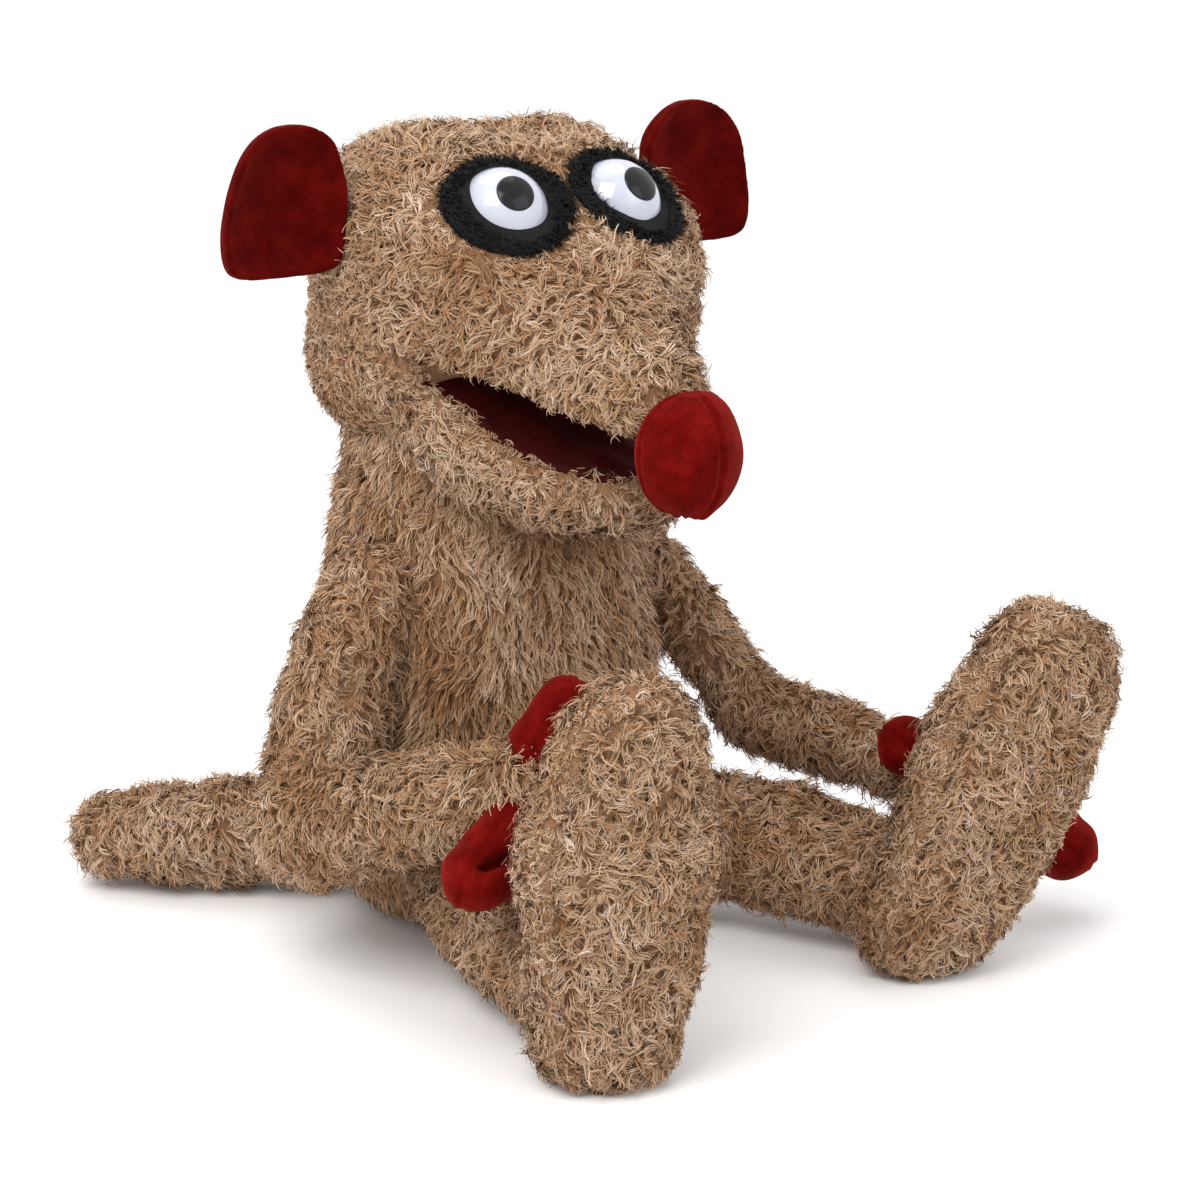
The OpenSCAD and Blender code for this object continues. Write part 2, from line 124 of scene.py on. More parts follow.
def chain(p, line, grow=0.0, k=5.0):
    """Soft tube through spheres given as (x, y, z, radius)."""
    d = None
    for a, b in zip(line, line[1:]):
        a, b = np.asarray(a, float), np.asarray(b, float)
        ab = b[:3] - a[:3]
        t = np.clip((p - a[:3]) @ ab / (ab @ ab), 0.0, 1.0)
        e = np.linalg.norm(p - a[:3] - t[:, None] * ab, axis=1) - a[3] - t * (b[3] - a[3]) - grow
        d = e if d is None else smin(d, e, k)
    return d


def waves(p, length, seed, count=7):
    """Smooth noise between about -1 and 1, made of plane waves in random directions."""
    rng = np.random.default_rng(seed)
    directions = unit(rng.normal(size=(count, 3))) * (2 * math.pi / length)
    directions *= rng.uniform(0.7, 1.4, (count, 1))
    return np.sin(p @ directions.T + rng.uniform(0, 6.283, count)).sum(1) / math.sqrt(count)


def gradient(field, p, step=0.8):
    g = np.empty_like(p)
    for k in range(3):
        e = np.zeros(3)
        e[k] = step
        g[:, k] = (field(p + e) - field(p - e)) / (2 * step)
    return g


def skin_of(field, low, high, cell):
    """Surface of a distance field as (points, quads): surface nets, drawn onto the surface."""
    low = np.asarray(low, float)
    n = np.ceil((np.asarray(high, float) - low) / cell).astype(int) + 1
    index = np.stack(np.meshgrid(*[np.arange(k) for k in n], indexing="ij"), -1)
    d = field((low + cell * index).reshape(-1, 3)).reshape(n)
    total = np.zeros(tuple(n - 1) + (3,))
    count = np.zeros(tuple(n - 1))
    crossings = []
    for a in range(3):
        first = [slice(None)] * 3
        second = [slice(None)] * 3
        first[a], second[a] = slice(None, -1), slice(1, None)
        da, db = d[tuple(first)], d[tuple(second)]
        cross = (da < 0) != (db < 0)
        t = np.where(cross, da / np.where(cross, da - db, 1.0), 0.0)
        place = index[tuple(first)].astype(float)
        place[..., a] += t
        crossings.append((cross, da < 0))
        b, c = [k for k in range(3) if k != a]
        for u in (0, 1):
            for v in (0, 1):
                part = [slice(None)] * 3
                part[b] = slice(u, u + n[b] - 1)
                part[c] = slice(v, v + n[c] - 1)
                total += place[tuple(part)] * cross[tuple(part)][..., None]
                count += cross[tuple(part)]
    used = count > 0
    number = np.full(used.shape, -1)
    number[used] = np.arange(used.sum())
    points = low + cell * total[used] / count[used][:, None]
    quads = []
    for a, (cross, starts_inside) in enumerate(crossings):
        b, c = [k for k in range(3) if k != a]
        at = np.argwhere(cross)
        at = at[(at[:, b] > 0) & (at[:, c] > 0) & (at[:, b] < n[b] - 1) & (at[:, c] < n[c] - 1)]
        corners = []
        for u, v in ((1, 1), (0, 1), (0, 0), (1, 0)):
            cell_at = at.copy()
            cell_at[:, b] -= u
            cell_at[:, c] -= v
            corners.append(number[tuple(cell_at.T)])
        quad = np.stack(corners, 1)
        flip = starts_inside[tuple(at.T)] == (a == 1)
        quad[flip] = quad[flip][:, ::-1]
        quads.append(quad)
    quads = np.concatenate(quads)
    for _ in range(3):
        g = gradient(field, points, cell * 0.3)
        step = field(points)[:, None] * g / np.maximum((g * g).sum(1, keepdims=True), 0.25)
        points = points - np.clip(step, -cell, cell)
    return points, quads


# -------- meshes
def mesh_object(name, points, faces, materials, slots=None, normals=None):
    """Object from points in millimetres and a list of face arrays, all smooth."""
    faces = [np.asarray(f, np.int32) for f in faces if len(f)]
    mesh = bpy.data.meshes.new(name)
    corners = np.concatenate([f.ravel() for f in faces])
    sizes = np.concatenate([np.full(len(f), f.shape[1]) for f in faces])
    mesh.vertices.add(len(points))
    mesh.vertices.foreach_set("co", (np.asarray(points) * MM).astype(np.float32).ravel())
    mesh.loops.add(len(corners))
    mesh.loops.foreach_set("vertex_index", corners.astype(np.int32))
    mesh.polygons.add(len(sizes))
    mesh.polygons.foreach_set("loop_start", (np.cumsum(sizes) - sizes).astype(np.int32))
    mesh.polygons.foreach_set("use_smooth", np.ones(len(sizes), bool))
    for material in materials:
        mesh.materials.append(material)
    if slots is not None:
        mesh.polygons.foreach_set("material_index", np.asarray(slots, np.int32))
    mesh.update(calc_edges=True)
    if normals is not None:
        held = mesh.attributes.new("custom_normal", "FLOAT_VECTOR", "CORNER")
        held.data.foreach_set("vector", normals[corners].astype(np.float32).ravel())
    made = bpy.data.objects.new(name, mesh)
    bpy.context.scene.collection.objects.link(made)
    return made


def clear_material(name):
    material = bpy.data.materials.new(name)
    material.use_nodes = True
    tree = material.node_tree
    tree.nodes.clear()
    shader = tree.nodes.new("ShaderNodeBsdfPrincipled")
    out = tree.nodes.new("ShaderNodeOutputMaterial")
    tree.links.new(shader.outputs[0], out.inputs[0])
    return material, tree, shader


def noise_node(tree, coordinates, scale, detail=3.0, roughness=0.5, stretch=None):
    node = tree.nodes.new("ShaderNodeTexNoise")
    node.inputs["Scale"].default_value = scale
    node.inputs["Detail"].default_value = detail
    node.inputs["Roughness"].default_value = roughness
    source = coordinates
    if stretch:
        mapping = tree.nodes.new("ShaderNodeMapping")
        mapping.inputs["Scale"].default_value = stretch
        tree.links.new(coordinates, mapping.inputs["Vector"])
        source = mapping.outputs[0]
    tree.links.new(source, node.inputs["Vector"])
    return node.outputs["Fac"]


def ramp_node(tree, value, stops):
    node = tree.nodes.new("ShaderNodeValToRGB")
    ramp = node.color_ramp
    while len(ramp.elements) < len(stops):
        ramp.elements.new(0.5)
    for element, (place, colour) in zip(ramp.elements, stops):
        element.position = place
        element.color = (*colour, 1.0)
    tree.links.new(value, node.inputs[0])
    return node.outputs[0]


def bump_node(tree, shader, heights):
    """Bumps given as (height output, distance in mm, strength), one on the other."""
    last = None
    for height, distance, strength in heights:
        node = tree.nodes.new("ShaderNodeBump")
        node.inputs["Distance"].default_value = distance * MM
        node.inputs["Strength"].default_value = strength
        tree.links.new(height, node.inputs["Height"])
        if last is not None:
            tree.links.new(last, node.inputs["Normal"])
        last = node.outputs[0]
    tree.links.new(last, shader.inputs["Normal"])


def cloth_material(name, stops, roughness, sheen=0.0, tint=(1, 1, 1), bumps=(), mottle=60.0,
                   specular=0.25):
    """Cloth whose colour wanders between stops, with bumps of (scale, distance mm, strength)."""
    material, tree, shader = clear_material(name)
    place = tree.nodes.new("ShaderNodeTexCoord").outputs["Object"]
    colour = ramp_node(tree, noise_node(tree, place, mottle, 5.0, 0.65), stops)
    tree.links.new(colour, shader.inputs["Base Color"])
    shader.inputs["Roughness"].default_value = roughness
    shader.inputs["Specular IOR Level"].default_value = specular
    shader.inputs["Sheen Weight"].default_value = sheen
    shader.inputs["Sheen Roughness"].default_value = 0.35
    shader.inputs["Sheen Tint"].default_value = (*tint, 1.0)
    bump_node(tree, shader, [(noise_node(tree, place, s, 2.0), d, k) for s, d, k in bumps])
    return material


def fibre_material(name, colour, roughness=0.6, specular=0.16, sheen=0.05):
    material, tree, shader = clear_material(name)
    shader.inputs["Base Color"].default_value = (*colour, 1.0)
    shader.inputs["Roughness"].default_value = roughness
    shader.inputs["Specular IOR Level"].default_value = specular
    shader.inputs["Sheen Weight"].default_value = sheen
    shader.inputs["Sheen Roughness"].default_value = 0.5
    return material


TAN_TONES = [
    (0.145, 0.054, 0.016),
    (0.203, 0.086, 0.032),
    (0.268, 0.128, 0.056),
    (0.340, 0.184, 0.090),
    (0.420, 0.262, 0.155),
    (0.500, 0.333, 0.215),
    (0.595, 0.430, 0.308),
    (0.720, 0.585, 0.475),
]
BLACK_TONES = [(0.003, 0.003, 0.003), (0.006, 0.005, 0.005), (0.013, 0.012, 0.012)]
TAN_FIBRES = [fibre_material(f"plush_fibre_{i}", c) for i, c in enumerate(TAN_TONES)]
BLACK_FIBRES = [
    fibre_material(f"black_fibre_{i}", c, 0.7, 0.1, 0.0) for i, c in enumerate(BLACK_TONES)
]
BACKING = cloth_material(
    "plush_backing",
    [(0.25, (0.165, 0.080, 0.036)), (0.6, (0.27, 0.145, 0.073)), (0.85, (0.37, 0.218, 0.118))],
    0.95,
    bumps=((420, 1.2, 0.8), (1600, 0.5, 0.6)),
)
BLACK_BACKING = cloth_material(
    "black_backing",
    [(0.3, (0.003, 0.003, 0.003)), (0.8, (0.012, 0.011, 0.011))],
    0.9,
    bumps=((1500, 0.5, 0.7),),
)


def velboa(name, *tones):
    """Short red pile cloth whose colour wanders through three tones, dark to light."""
    return cloth_material(
        name, list(zip((0.30, 0.5, 0.72), tones)), 0.95, sheen=0.3, tint=(1.0, 0.12, 0.09),
        bumps=((260, 0.6, 0.3), (2600, 0.35, 0.9)), mottle=95.0, specular=0.04,
    )


VELBOA = velboa("red_velboa", (0.070, 0.0010, 0.0007), (0.120, 0.0024, 0.0016),
                (0.190, 0.006, 0.004))
# the ears' red velboa, made darker as painted shade where their pile lies away from the light
SHADED_EAR_VELBOA = velboa("shaded_ear_velboa", (0.042, 0.0006, 0.0004), (0.072, 0.0014, 0.0008),
                    (0.114, 0.0034, 0.002))
LINING = cloth_material(
    "mouth_lining",
    [(0.3, (0.022, 0.0008, 0.0008)), (0.7, (0.060, 0.0018, 0.002))],
    0.7,
    sheen=0.1,
    tint=(1.0, 0.2, 0.15),
    specular=0.1,
    bumps=((180, 0.8, 0.35), (2600, 0.12, 0.5)),
)


# -------- pile
HASH_PRIMES = np.array([73856093, 19349663, 83492791])


def spread(points, quads, spacing, rng):
    """Random points about spacing apart on a surface, as (points, face numbers)."""
    a, b, c, d = (points[quads[:, k]] for k in range(4))
    corners = np.concatenate([np.stack([a, b, c], 1), np.stack([a, c, d], 1)])
    area = np.linalg.norm(
        np.cross(corners[:, 1] - corners[:, 0], corners[:, 2] - corners[:, 0]), axis=1
    ) / 2
    wanted = int(area.sum() / spacing**2 * 3.2)
    chosen = rng.choice(len(corners), wanted, p=area / area.sum())
    u, v = rng.random(wanted), rng.random(wanted)
    fold = u + v > 1
    u[fold], v[fold] = 1 - u[fold], 1 - v[fold]
    t = corners[chosen]
    found = t[:, 0] + u[:, None] * (t[:, 1] - t[:, 0]) + v[:, None] * (t[:, 2] - t[:, 0])
    voxel = np.floor(found / (spacing * 0.92) + rng.random(3)).astype(np.int64)
    mixed = voxel * HASH_PRIMES
    key = mixed[:, 0] ^ mixed[:, 1] ^ mixed[:, 2]
    _, first = np.unique(key, return_index=True)
    return found[np.sort(first)]


STEPS = 6                # pieces along one strand
PER_TUFT = 6
MAX_STRANDS = 17500      # strands in one piece, which keeps it under 200,000 triangles
# painted shade deep in the pile at each strand's root, painted highlight at its tip
ROOT_PAINTED_SHADE, TIP_PAINTED_HIGHLIGHT = -1.2, 0.9
LOOSE_SHARE = 0.06       # strands that stand out of their tuft
ROOT_DEPTH = 0.6         # a strand starts this far under the cloth
DOWN = np.array([0.0, 0.0, -1.0])


def fibres(roots, normals, comb, length, rng, tone, tones, per_tuft=PER_TUFT, radius=1.5,
           curl=1.1, width=0.4, lean=(14.0, 115.0), swirl=1.0, jitter=0.45):
    """Ribbons in curled tufts. Returns points (n, 2 * STEPS + 1, 3), normals and tones.

    A strand leans away from its normal by lean[0] degrees at its root and bends lean[1] more.
    """
    n = len(roots)
    side = unit(np.cross(normals, comb))
    comb = unit(np.cross(side, normals))
    astray = rng.normal(0, swirl, n)[:, None]
    cos, sin = np.cos(astray), np.sin(astray)
    comb, side = comb * cos + side * sin, side * cos - comb * sin
    tuft = {
        "length": length * rng.uniform(0.82, 1.18, n),
        "bend": np.radians(lean[0] + rng.uniform(-8, 8, n)),
        "more": np.radians(lean[1] + rng.uniform(-28, 40, n)),
        "phase": rng.uniform(0, 2 * math.pi, n),
        "spin": rng.choice([-1.0, 1.0], n) * rng.uniform(4.5, 9.0, n),
        "curl": curl * rng.uniform(0.5, 1.35, n),
        "tone": tone + rng.normal(0, 0.45, n),
    }
    many = np.repeat(np.arange(n), per_tuft)
    m = len(many)
    angle, reach = rng.uniform(0, 2 * math.pi, m), radius * np.sqrt(rng.random(m))
    N, C, S = normals[many], comb[many], side[many]
    offset = C * (reach * np.cos(angle))[:, None] + S * (reach * np.sin(angle))[:, None]
    own = unit(rng.normal(size=(m, 3)))
    L = tuft["length"][many] * rng.uniform(0.75, 1.12, m)
    bend = tuft["bend"][many] + rng.normal(0, 0.12, m)
    more = tuft["more"][many] + rng.normal(0, 0.25, m)
    phase = tuft["phase"][many] + rng.normal(0, 0.5, m)
    spin = tuft["spin"][many] + rng.normal(0, 0.8, m)
    amount = tuft["curl"][many] * rng.uniform(0.8, 1.2, m)
    loose = rng.random(m) < LOOSE_SHARE
    L[loose] *= 1.15
    place = roots[many] - N * ROOT_DEPTH
    line = []
    for i in range(STEPS + 1):
        u = i / STEPS
        if i:
            theta = bend + more * (u - 0.5 / STEPS)
            d = N * np.cos(theta)[:, None] + C * np.sin(theta)[:, None]
            place = place + d * (L / STEPS)[:, None]
        swing = phase + spin * u
        across = S * np.cos(swing)[:, None] + (N * 0.45 + C * 0.6) * np.sin(swing)[:, None]
        line.append(
            place
            + offset * (1.0 - 0.6 * u)
            + across * (amount * u**1.15)[:, None]
            + own * (jitter * u * np.where(loose, 2.2, 1.0))[:, None]
        )
    line = np.stack(line, 1)
    line[..., 2] = np.maximum(line[..., 2], 0.25 + 0.4 * rng.random((m, 1)))
    along = np.gradient(line, axis=1)
    twist = unit(N[:, None, :] + rng.normal(0, 0.42, (m, 1, 3)))
    across = unit(np.cross(along, twist))
    u = np.linspace(0, 1, STEPS + 1)
    half = 0.5 * width * rng.uniform(0.7, 1.3, (m, 1)) * (1.05 - 0.45 * u**2)[None, :]
    left = line - across * half[..., None]
    right = line + across * half[..., None]
    points = np.concatenate([left[:, :STEPS], right[:, :STEPS], line[:, STEPS:]], 1)
    faced = unit(np.cross(along, across))
    faced *= np.where((faced * N[:, None, :]).sum(-1, keepdims=True) < 0, -1.0, 1.0)
    shade = unit(0.8 * N[:, None, :] + 0.42 * faced)
    shading = np.concatenate([shade[:, :STEPS], shade[:, :STEPS], shade[:, STEPS:]], 1)
    lightness = tuft["tone"][many][:, None] + rng.normal(0, 0.55, m)[:, None]
    # steps from painted shade at the root to a painted highlight at the tip
    lightness = lightness + np.linspace(ROOT_PAINTED_SHADE, TIP_PAINTED_HIGHLIGHT, STEPS)[None, :]
    slots = np.clip(np.rint(lightness + tones * 0.5), 0, tones - 1).astype(int)
    return points, shading, slots


def ribbon_faces(m):
    """Quads and end triangles of m ribbons of 2 * STEPS + 1 points."""
    base = (np.arange(m) * (2 * STEPS + 1))[:, None]
    quads = np.concatenate(
        [base + np.array([i, STEPS + i, STEPS + i + 1, i + 1]) for i in range(STEPS - 1)]
    )
    tips = base + np.array([STEPS - 1, 2 * STEPS - 1, 2 * STEPS])
    return quads, tips


def pile(name, field, surface, place, keep=None, comb=None, spacing=2.7, length=9.5,
         materials=None, seed=1, slot="curly_plush", order=2, tone=0.0, stray=0.9, **style):
    """Covers a surface with fibres, in as many pieces as their size asks for.

    The pieces are cut along axis order. A tone shifts the whole pile lighter or darker, and
    stray is how far its nap wanders. keep, comb and length take points.
    """
    rng = np.random.default_rng(seed)
    roots = spread(*surface, spacing, rng)
    if keep is not None:
        roots = roots[keep(roots)]
    normals = unit(gradient(field, roots, 1.6))
    wish = comb(roots) if comb is not None else DOWN
    drift = np.stack([waves(roots, 26.0, seed * 7 + k) for k in range(3)], 1)
    wish = wish + stray * drift
    wish = wish - normals * (wish * normals).sum(1, keepdims=True)
    reach = length(roots) if callable(length) else np.full(len(roots), float(length))
    shade = 0.55 * waves(roots, 34.0, seed * 7 + 5) + 0.35 * waves(roots, 9.0, seed * 7 + 6)
    shade += tone
    materials = materials or TAN_FIBRES
    per_tuft = style.get("per_tuft", PER_TUFT)
    ranked = np.argsort(roots[:, order], kind="stable")
    chunks = max(1, math.ceil(len(roots) * per_tuft / MAX_STRANDS))
    for i, part in enumerate(np.array_split(ranked, chunks)):
        points, shading, slots = fibres(
            roots[part], normals[part], unit(wish[part]), reach[part], rng,
            shade[part], len(materials), **style
        )
        quads, tips = ribbon_faces(len(points))
        order_of_faces = np.concatenate([slots[:, k] for k in range(STEPS)])
        flat = points.reshape(-1, 3)
        normal = shading.reshape(-1, 3)
        quads = facing(flat, quads, normal)
        tips = facing(flat, tips, normal)
        label = f"{name}_{i + 1}" if chunks > 1 else name
        o = mesh_object(label, flat, [quads, tips], materials, order_of_faces, normal)
        place(o)


def facing(points, faces, normal):
    """Faces turned so that each looks the way its shading normal does."""
    a, b, c = (points[faces[:, k]] for k in range(3))
    wrong = (np.cross(b - a, c - a) * normal[faces[:, 1]]).sum(1) < 0
    turned = faces.copy()
    turned[wrong] = faces[wrong][:, ::-1]
    return turned


def riding(body):
    return lambda o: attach(o, body)


def of_side(field, letter):
    return lambda p: field(p, letter)


def blending():
    return lambda o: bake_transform(o)


def stuffed(name, field, low, high, cell, material, place, nodes=()):
    """A padded skin piece. Returns its surface, from which pile can grow."""
    surface = skin_of(field, low, high, cell)
    o = mesh_object(name, surface[0], [surface[1]], [material])
    place(o)
    if nodes:
        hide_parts(*nodes)
    return surface


INSET = 1.2              # the skin lies this far inside its CAD solid, and pile fills the rest
CELL = 2.2

# -------- torso and neck
TORSO = [(0, 8, 52, 61), (0, 7.5, 84, 57.5), (0, 6, 114, 54), (0, 5, 140, 51.5), (0, 5, 165, 50)]


def torso_field(p):
    d = chain(p, TORSO, -INSET, 14.0)
    d = smax(d, p[:, 2] - 168.0, 8.0)
    d = smax(d, 1.5 - p[:, 2], 9.0)
    d = d - 0.9 * waves(p, 60.0, 11) - 0.35 * waves(p, 22.0, 12)
    fold = np.abs(p[:, 2] - 66.0 - 0.10 * p[:, 0] + 5.0 * np.sin(p[:, 0] / 17.0))
    front = np.clip(-(p[:, 1] + 14.0) / 24.0, 0.0, 1.0)
    d = d + 2.2 * front * np.exp(-((fold / 6.0) ** 2))
    return smax(d, CHIN_GAP - chin_distance(p), 5.0)


CHIN_MOVES = (("jaw_open", JOINTS["jaw_open"]["range_deg"][1]),
              ("head_nod", JOINTS["head_nod"]["range_deg"][0]))
CHIN_GAP = 1.2           # kept between the chest's skin and the lowered chin
CHIN_BOX = np.array([[-75.0, -110.0, 138.0], [75.0, 0.0, 172.0]])
CLEAR = 20.0             # a distance at which chin and chest no longer matter to each other


def chin_distance(p):
    """How far the lowered chin stays from points of the chest."""
    far = np.full(len(p), CLEAR)
    near = ((p > CHIN_BOX[0]) & (p < CHIN_BOX[1])).all(1)
    for joint, degrees in CHIN_MOVES:
        far[near] = np.minimum(far[near], jaw_skin_field(swung(p[near], joint, -degrees)))
    return far


NECK = [(0, 5, 158, 49.5), (0, 5, 170, 48.5), (0, 5, 182, 46), (0, 5, 200, 44)]


def neck_field(p):
    d = chain(p, NECK, -INSET, 6.0)
    d = smax(d, 150.0 - p[:, 2], 4.0)
    d = smax(d, p[:, 2] - 206.0, 4.0)
    return d - 0.8 * waves(p, 34.0, 15)


neck_place = blending()
neck_surface = stuffed(
    "neck", neck_field, (-56, -50, 146), (56, 60, 210), CELL, BACKING, neck_place,
    ("neck_skin", "neck_stuffing"),
)

# -------- head
FACE_INSET = 0.3
CROWN_HALF = 24.0
CROWN_PROFILE = [(12, 212), (9, 250), (-19, 246), (-14, 222)]
CROWN_R = 38.5
MUZZLE_HALF = 20.0       # half width of the flat part of the muzzle's root
MUZZLE_R = (33.0, 22.0)
MUZZLE_ROOT, MUZZLE_TIP = np.array([0, -38.0, 232.0]), np.array([0, -88.0, 208.0])
JAW_LINE = [(33, -38, 189, 19), (27, -48, 185, 18.5), (20, -60, 181, 18), (13, -70, 179, 17),
            (6, -77, 178, 16), (0, -77, 178, 16)]
MOUTH_CORNER = np.array([0, -30.0, 216.0])
FLOOR_CORNER = np.array([0, -34.0, 208.0])
PALATE_SLOPE, FLOOR_SLOPE = math.radians(16), math.radians(24)
FLOOR_SAG, FLOOR_LENGTH = 4.5, 62.0
EYE_SEAT = np.array([24.0, -41.0, 268.0])
EYE_TILT = (52.0, 9.0)
EYE_R, EYE_SINK = 16.0, 3.0
SOCKET_DEPTH, SOCKET_REACH = 6.0, 18.0
NOSE = to_head(np.mean([np.array(c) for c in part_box("nose")], axis=0)[None] / MM)[0]
NOSE_HALF = (np.array(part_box("nose")[1]) - np.array(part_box("nose")[0])) / (2 * MM)


def flat_polygon(q, corners):
    """Signed distance to a convex polygon in the plane."""
    best = np.full(len(q), np.inf)
    inside = np.full(len(q), True)
    corners = np.asarray(corners, float)
    centre = corners.mean(0)
    for a, b in zip(corners, np.roll(corners, -1, 0)):
        edge = b - a
        t = np.clip((q - a) @ edge / (edge @ edge), 0, 1)
        best = np.minimum(best, np.linalg.norm(q - a - t[:, None] * edge, axis=1))
        outward = np.array([edge[1], -edge[0]])
        outward = outward * (1 if (a - centre) @ outward > 0 else -1)
        inside &= (q - a) @ outward < 0
    return np.where(inside, -best, best)


def crown_field(h):
    section = flat_polygon(h[:, 1:], CROWN_PROFILE)
    across = np.abs(h[:, 0]) - CROWN_HALF
    outside = np.hypot(np.maximum(section, 0), np.maximum(across, 0))
    return outside + np.minimum(np.maximum(section, across), 0) - CROWN_R


def muzzle_field(h):
    along = MUZZLE_TIP - MUZZLE_ROOT
    t = np.clip((h - MUZZLE_ROOT) @ along / (along @ along), 0, 1)
    half = MUZZLE_HALF * (1 - t)
    spine = MUZZLE_ROOT + t[:, None] * along
    q = h - spine
    q[:, 0] -= np.clip(q[:, 0], -half, half)
    return np.linalg.norm(q, axis=1) - mix(*MUZZLE_R, t)


def jaw_field(h):
    q = h.copy()
    q[:, 0] = np.abs(q[:, 0])
    d = None
    for a, b in zip(JAW_LINE, JAW_LINE[1:]):
        a, b = np.asarray(a, float), np.asarray(b, float)
        ab = b[1:3] - a[1:3]
        span = max(ab @ ab, 1e-6)
        t = np.clip((q[:, 1:] - a[1:3]) @ ab / span, 0, 1)
        spine = a[None, 1:3] + t[:, None] * ab
        width = a[0] + t * (b[0] - a[0])
        side = np.maximum(q[:, 0] - width, 0)
        r = a[3] + t * (b[3] - a[3])
        e = np.sqrt(((q[:, 1:] - spine) ** 2).sum(1) + side**2) - r
        d = e if d is None else smin(d, e, 4.0)
    return d


def palate(h, lift=0.0):
    """Height above the roof of the mouth, square to it."""
    return (
        (h[:, 2] - MOUTH_CORNER[2]) * math.cos(PALATE_SLOPE)
        - (h[:, 1] - MOUTH_CORNER[1]) * math.sin(PALATE_SLOPE)
        - lift
    )


def mouth_floor(h):
    """Height above the floor of the mouth, square to it; the floor sags between its ends."""
    sag = FLOOR_SAG * np.sin(math.pi * np.clip((FLOOR_CORNER[1] - h[:, 1]) / FLOOR_LENGTH, 0, 1))
    return (
        (h[:, 2] - FLOOR_CORNER[2]) * math.cos(FLOOR_SLOPE)
        - (h[:, 1] - FLOOR_CORNER[1]) * math.sin(FLOOR_SLOPE)
        + sag
    )


def socket(h):
    """Depth pressed into the face round each eye."""
    q = h.copy()
    q[:, 0] = np.abs(q[:, 0])
    away = np.linalg.norm(q - EYE_SEAT, axis=1)
    return SOCKET_DEPTH * np.exp(-((away / SOCKET_REACH) ** 2))


def upper_form(h):
    """Crown and muzzle in one, with hollows for the eyes."""
    return smin(crown_field(h), muzzle_field(h), 12.0) + FACE_INSET + socket(h)


def uneven(d, h):
    """The swell of stuffing under the face's cloth."""
    return d - 0.8 * waves(h, 52.0, 21) - 0.3 * waves(h, 19.0, 22)


def upper_solid(h):
    return uneven(upper_form(h), h)


def face_solid(h):
    """Crown, muzzle, cheeks and jaw as one closed form without its mouth."""
    return uneven(smin(jaw_field(h) + INSET, upper_form(h), 12.0), h)


ROOF_LIFT = 3.5          # the roof of the mouth lies this far above the CAD's
CHEEK_Y = -16.0          # pile changes from the head's skin to the jaw's here
OVERLAP = 7.0            # both skins run this far past that line


def slide(value, low, high):
    """Smooth step from 0 at low to 1 at high."""
    t = np.clip((value - low) / (high - low), 0.0, 1.0)
    return t * t * (3.0 - 2.0 * t)


def head_field(p):
    h = to_head(p)
    d = face_solid(h)
    lip = 3.0 + 6.0 * slide(-h[:, 1], 26.0, 44.0)
    mouth = np.maximum(palate(h, ROOF_LIFT), h[:, 1] - CHEEK_Y + OVERLAP)
    d = smax(d, -mouth, lip)
    return smax(d, 181.0 - h[:, 2], 9.0)


head_place = riding("head")
head_surface = stuffed(
    "head", head_field, (-82, -122, 168), (82, 66, 300), CELL, BACKING, head_place,
    ("head_skin", "head_stuffing", "muzzle_skin", "muzzle_stuffing"),
)


def jaw_skin_field(p):
    h = to_head(p)
    front = slide(-h[:, 1], 30.0, 46.0)
    opening = np.minimum(mouth_floor(h), -(h[:, 1] + 33.0))
    opening = np.maximum(opening, palate(h, 2.5))
    d = smax(face_solid(h), opening, 3.0 + 5.0 * front)
    d = smax(d, h[:, 1] - CHEEK_Y - OVERLAP, 3.0)
    ball = NOD + np.array([0, 0, -14.0])
    return smax(d, 42.0 - np.linalg.norm(h - ball, axis=1), 4.0)


torso_surface = stuffed(
    "torso", torso_field, (-68, -62, -3), (68, 78, 176), CELL, BACKING, riding("torso"),
    ("torso_skin", "torso_stuffing", "seat_panel", "pellet_bag"),
)
jaw_place = blending()
jaw_surface = stuffed(
    "jaw", jaw_skin_field, (-82, -122, 150), (82, 10, 232), CELL, BACKING, jaw_place,
    ("jaw_skin", "jaw_stuffing"),
)


def wrinkled(p, seed):
    return 0.5 * waves(p, 16.0, seed)


def palate_field(p):
    h = to_head(p)
    roof = np.maximum(np.abs(palate(h, ROOF_LIFT + 0.4) + wrinkled(h, 31)) - 1.6, h[:, 1] + 27.0)
    wall = np.maximum(np.abs(h[:, 1] + 30.5) - 1.5, np.abs(h[:, 2] - 205.0) - 14.0)
    return smax(smin(roof, wall, 5.0), face_solid(h) + 3.2, 1.5)


def floor_field(p):
    h = to_head(p)
    slab = np.maximum(np.abs(mouth_floor(h) + 0.6 + wrinkled(h, 32)) - 1.6, h[:, 1] + 29.0)
    return smax(slab, face_solid(h) + 3.2, 1.5)


LINING_CELL = 1.6
stuffed(
    "mouth_roof", palate_field, (-70, -112, 178), (70, -12, 226), LINING_CELL, LINING,
    riding("head"), ("palate_lining",),
)
stuffed(
    "mouth_floor", floor_field, (-70, -112, 170), (70, -12, 220), LINING_CELL, LINING,
    riding("jaw"), ("jaw_lining",),
)

# -------- eyes
PATCH_HALF = (24.0, 21.0)


def eye_axes(side):
    return turn((EYE_TILT[0], side * EYE_TILT[1]))


def eye_point(h, side):
    return (h - EYE_SEAT * np.array([side, 1, 1])) @ eye_axes(side)


def patch_edge(h, side, margin=0.0):
    """Distance outside the oval patch round an eye, about, in millimetres."""
    q = eye_point(h, side)
    a, b = PATCH_HALF[0] + margin, PATCH_HALF[1] + margin
    ring = (np.hypot(q[:, 0] / a, q[:, 1] / b) - 1.0) * b
    apart = 0.8 - side * h[:, 0]
    return np.where(q[:, 2] > -22.0, np.maximum(ring, apart), 30.0)


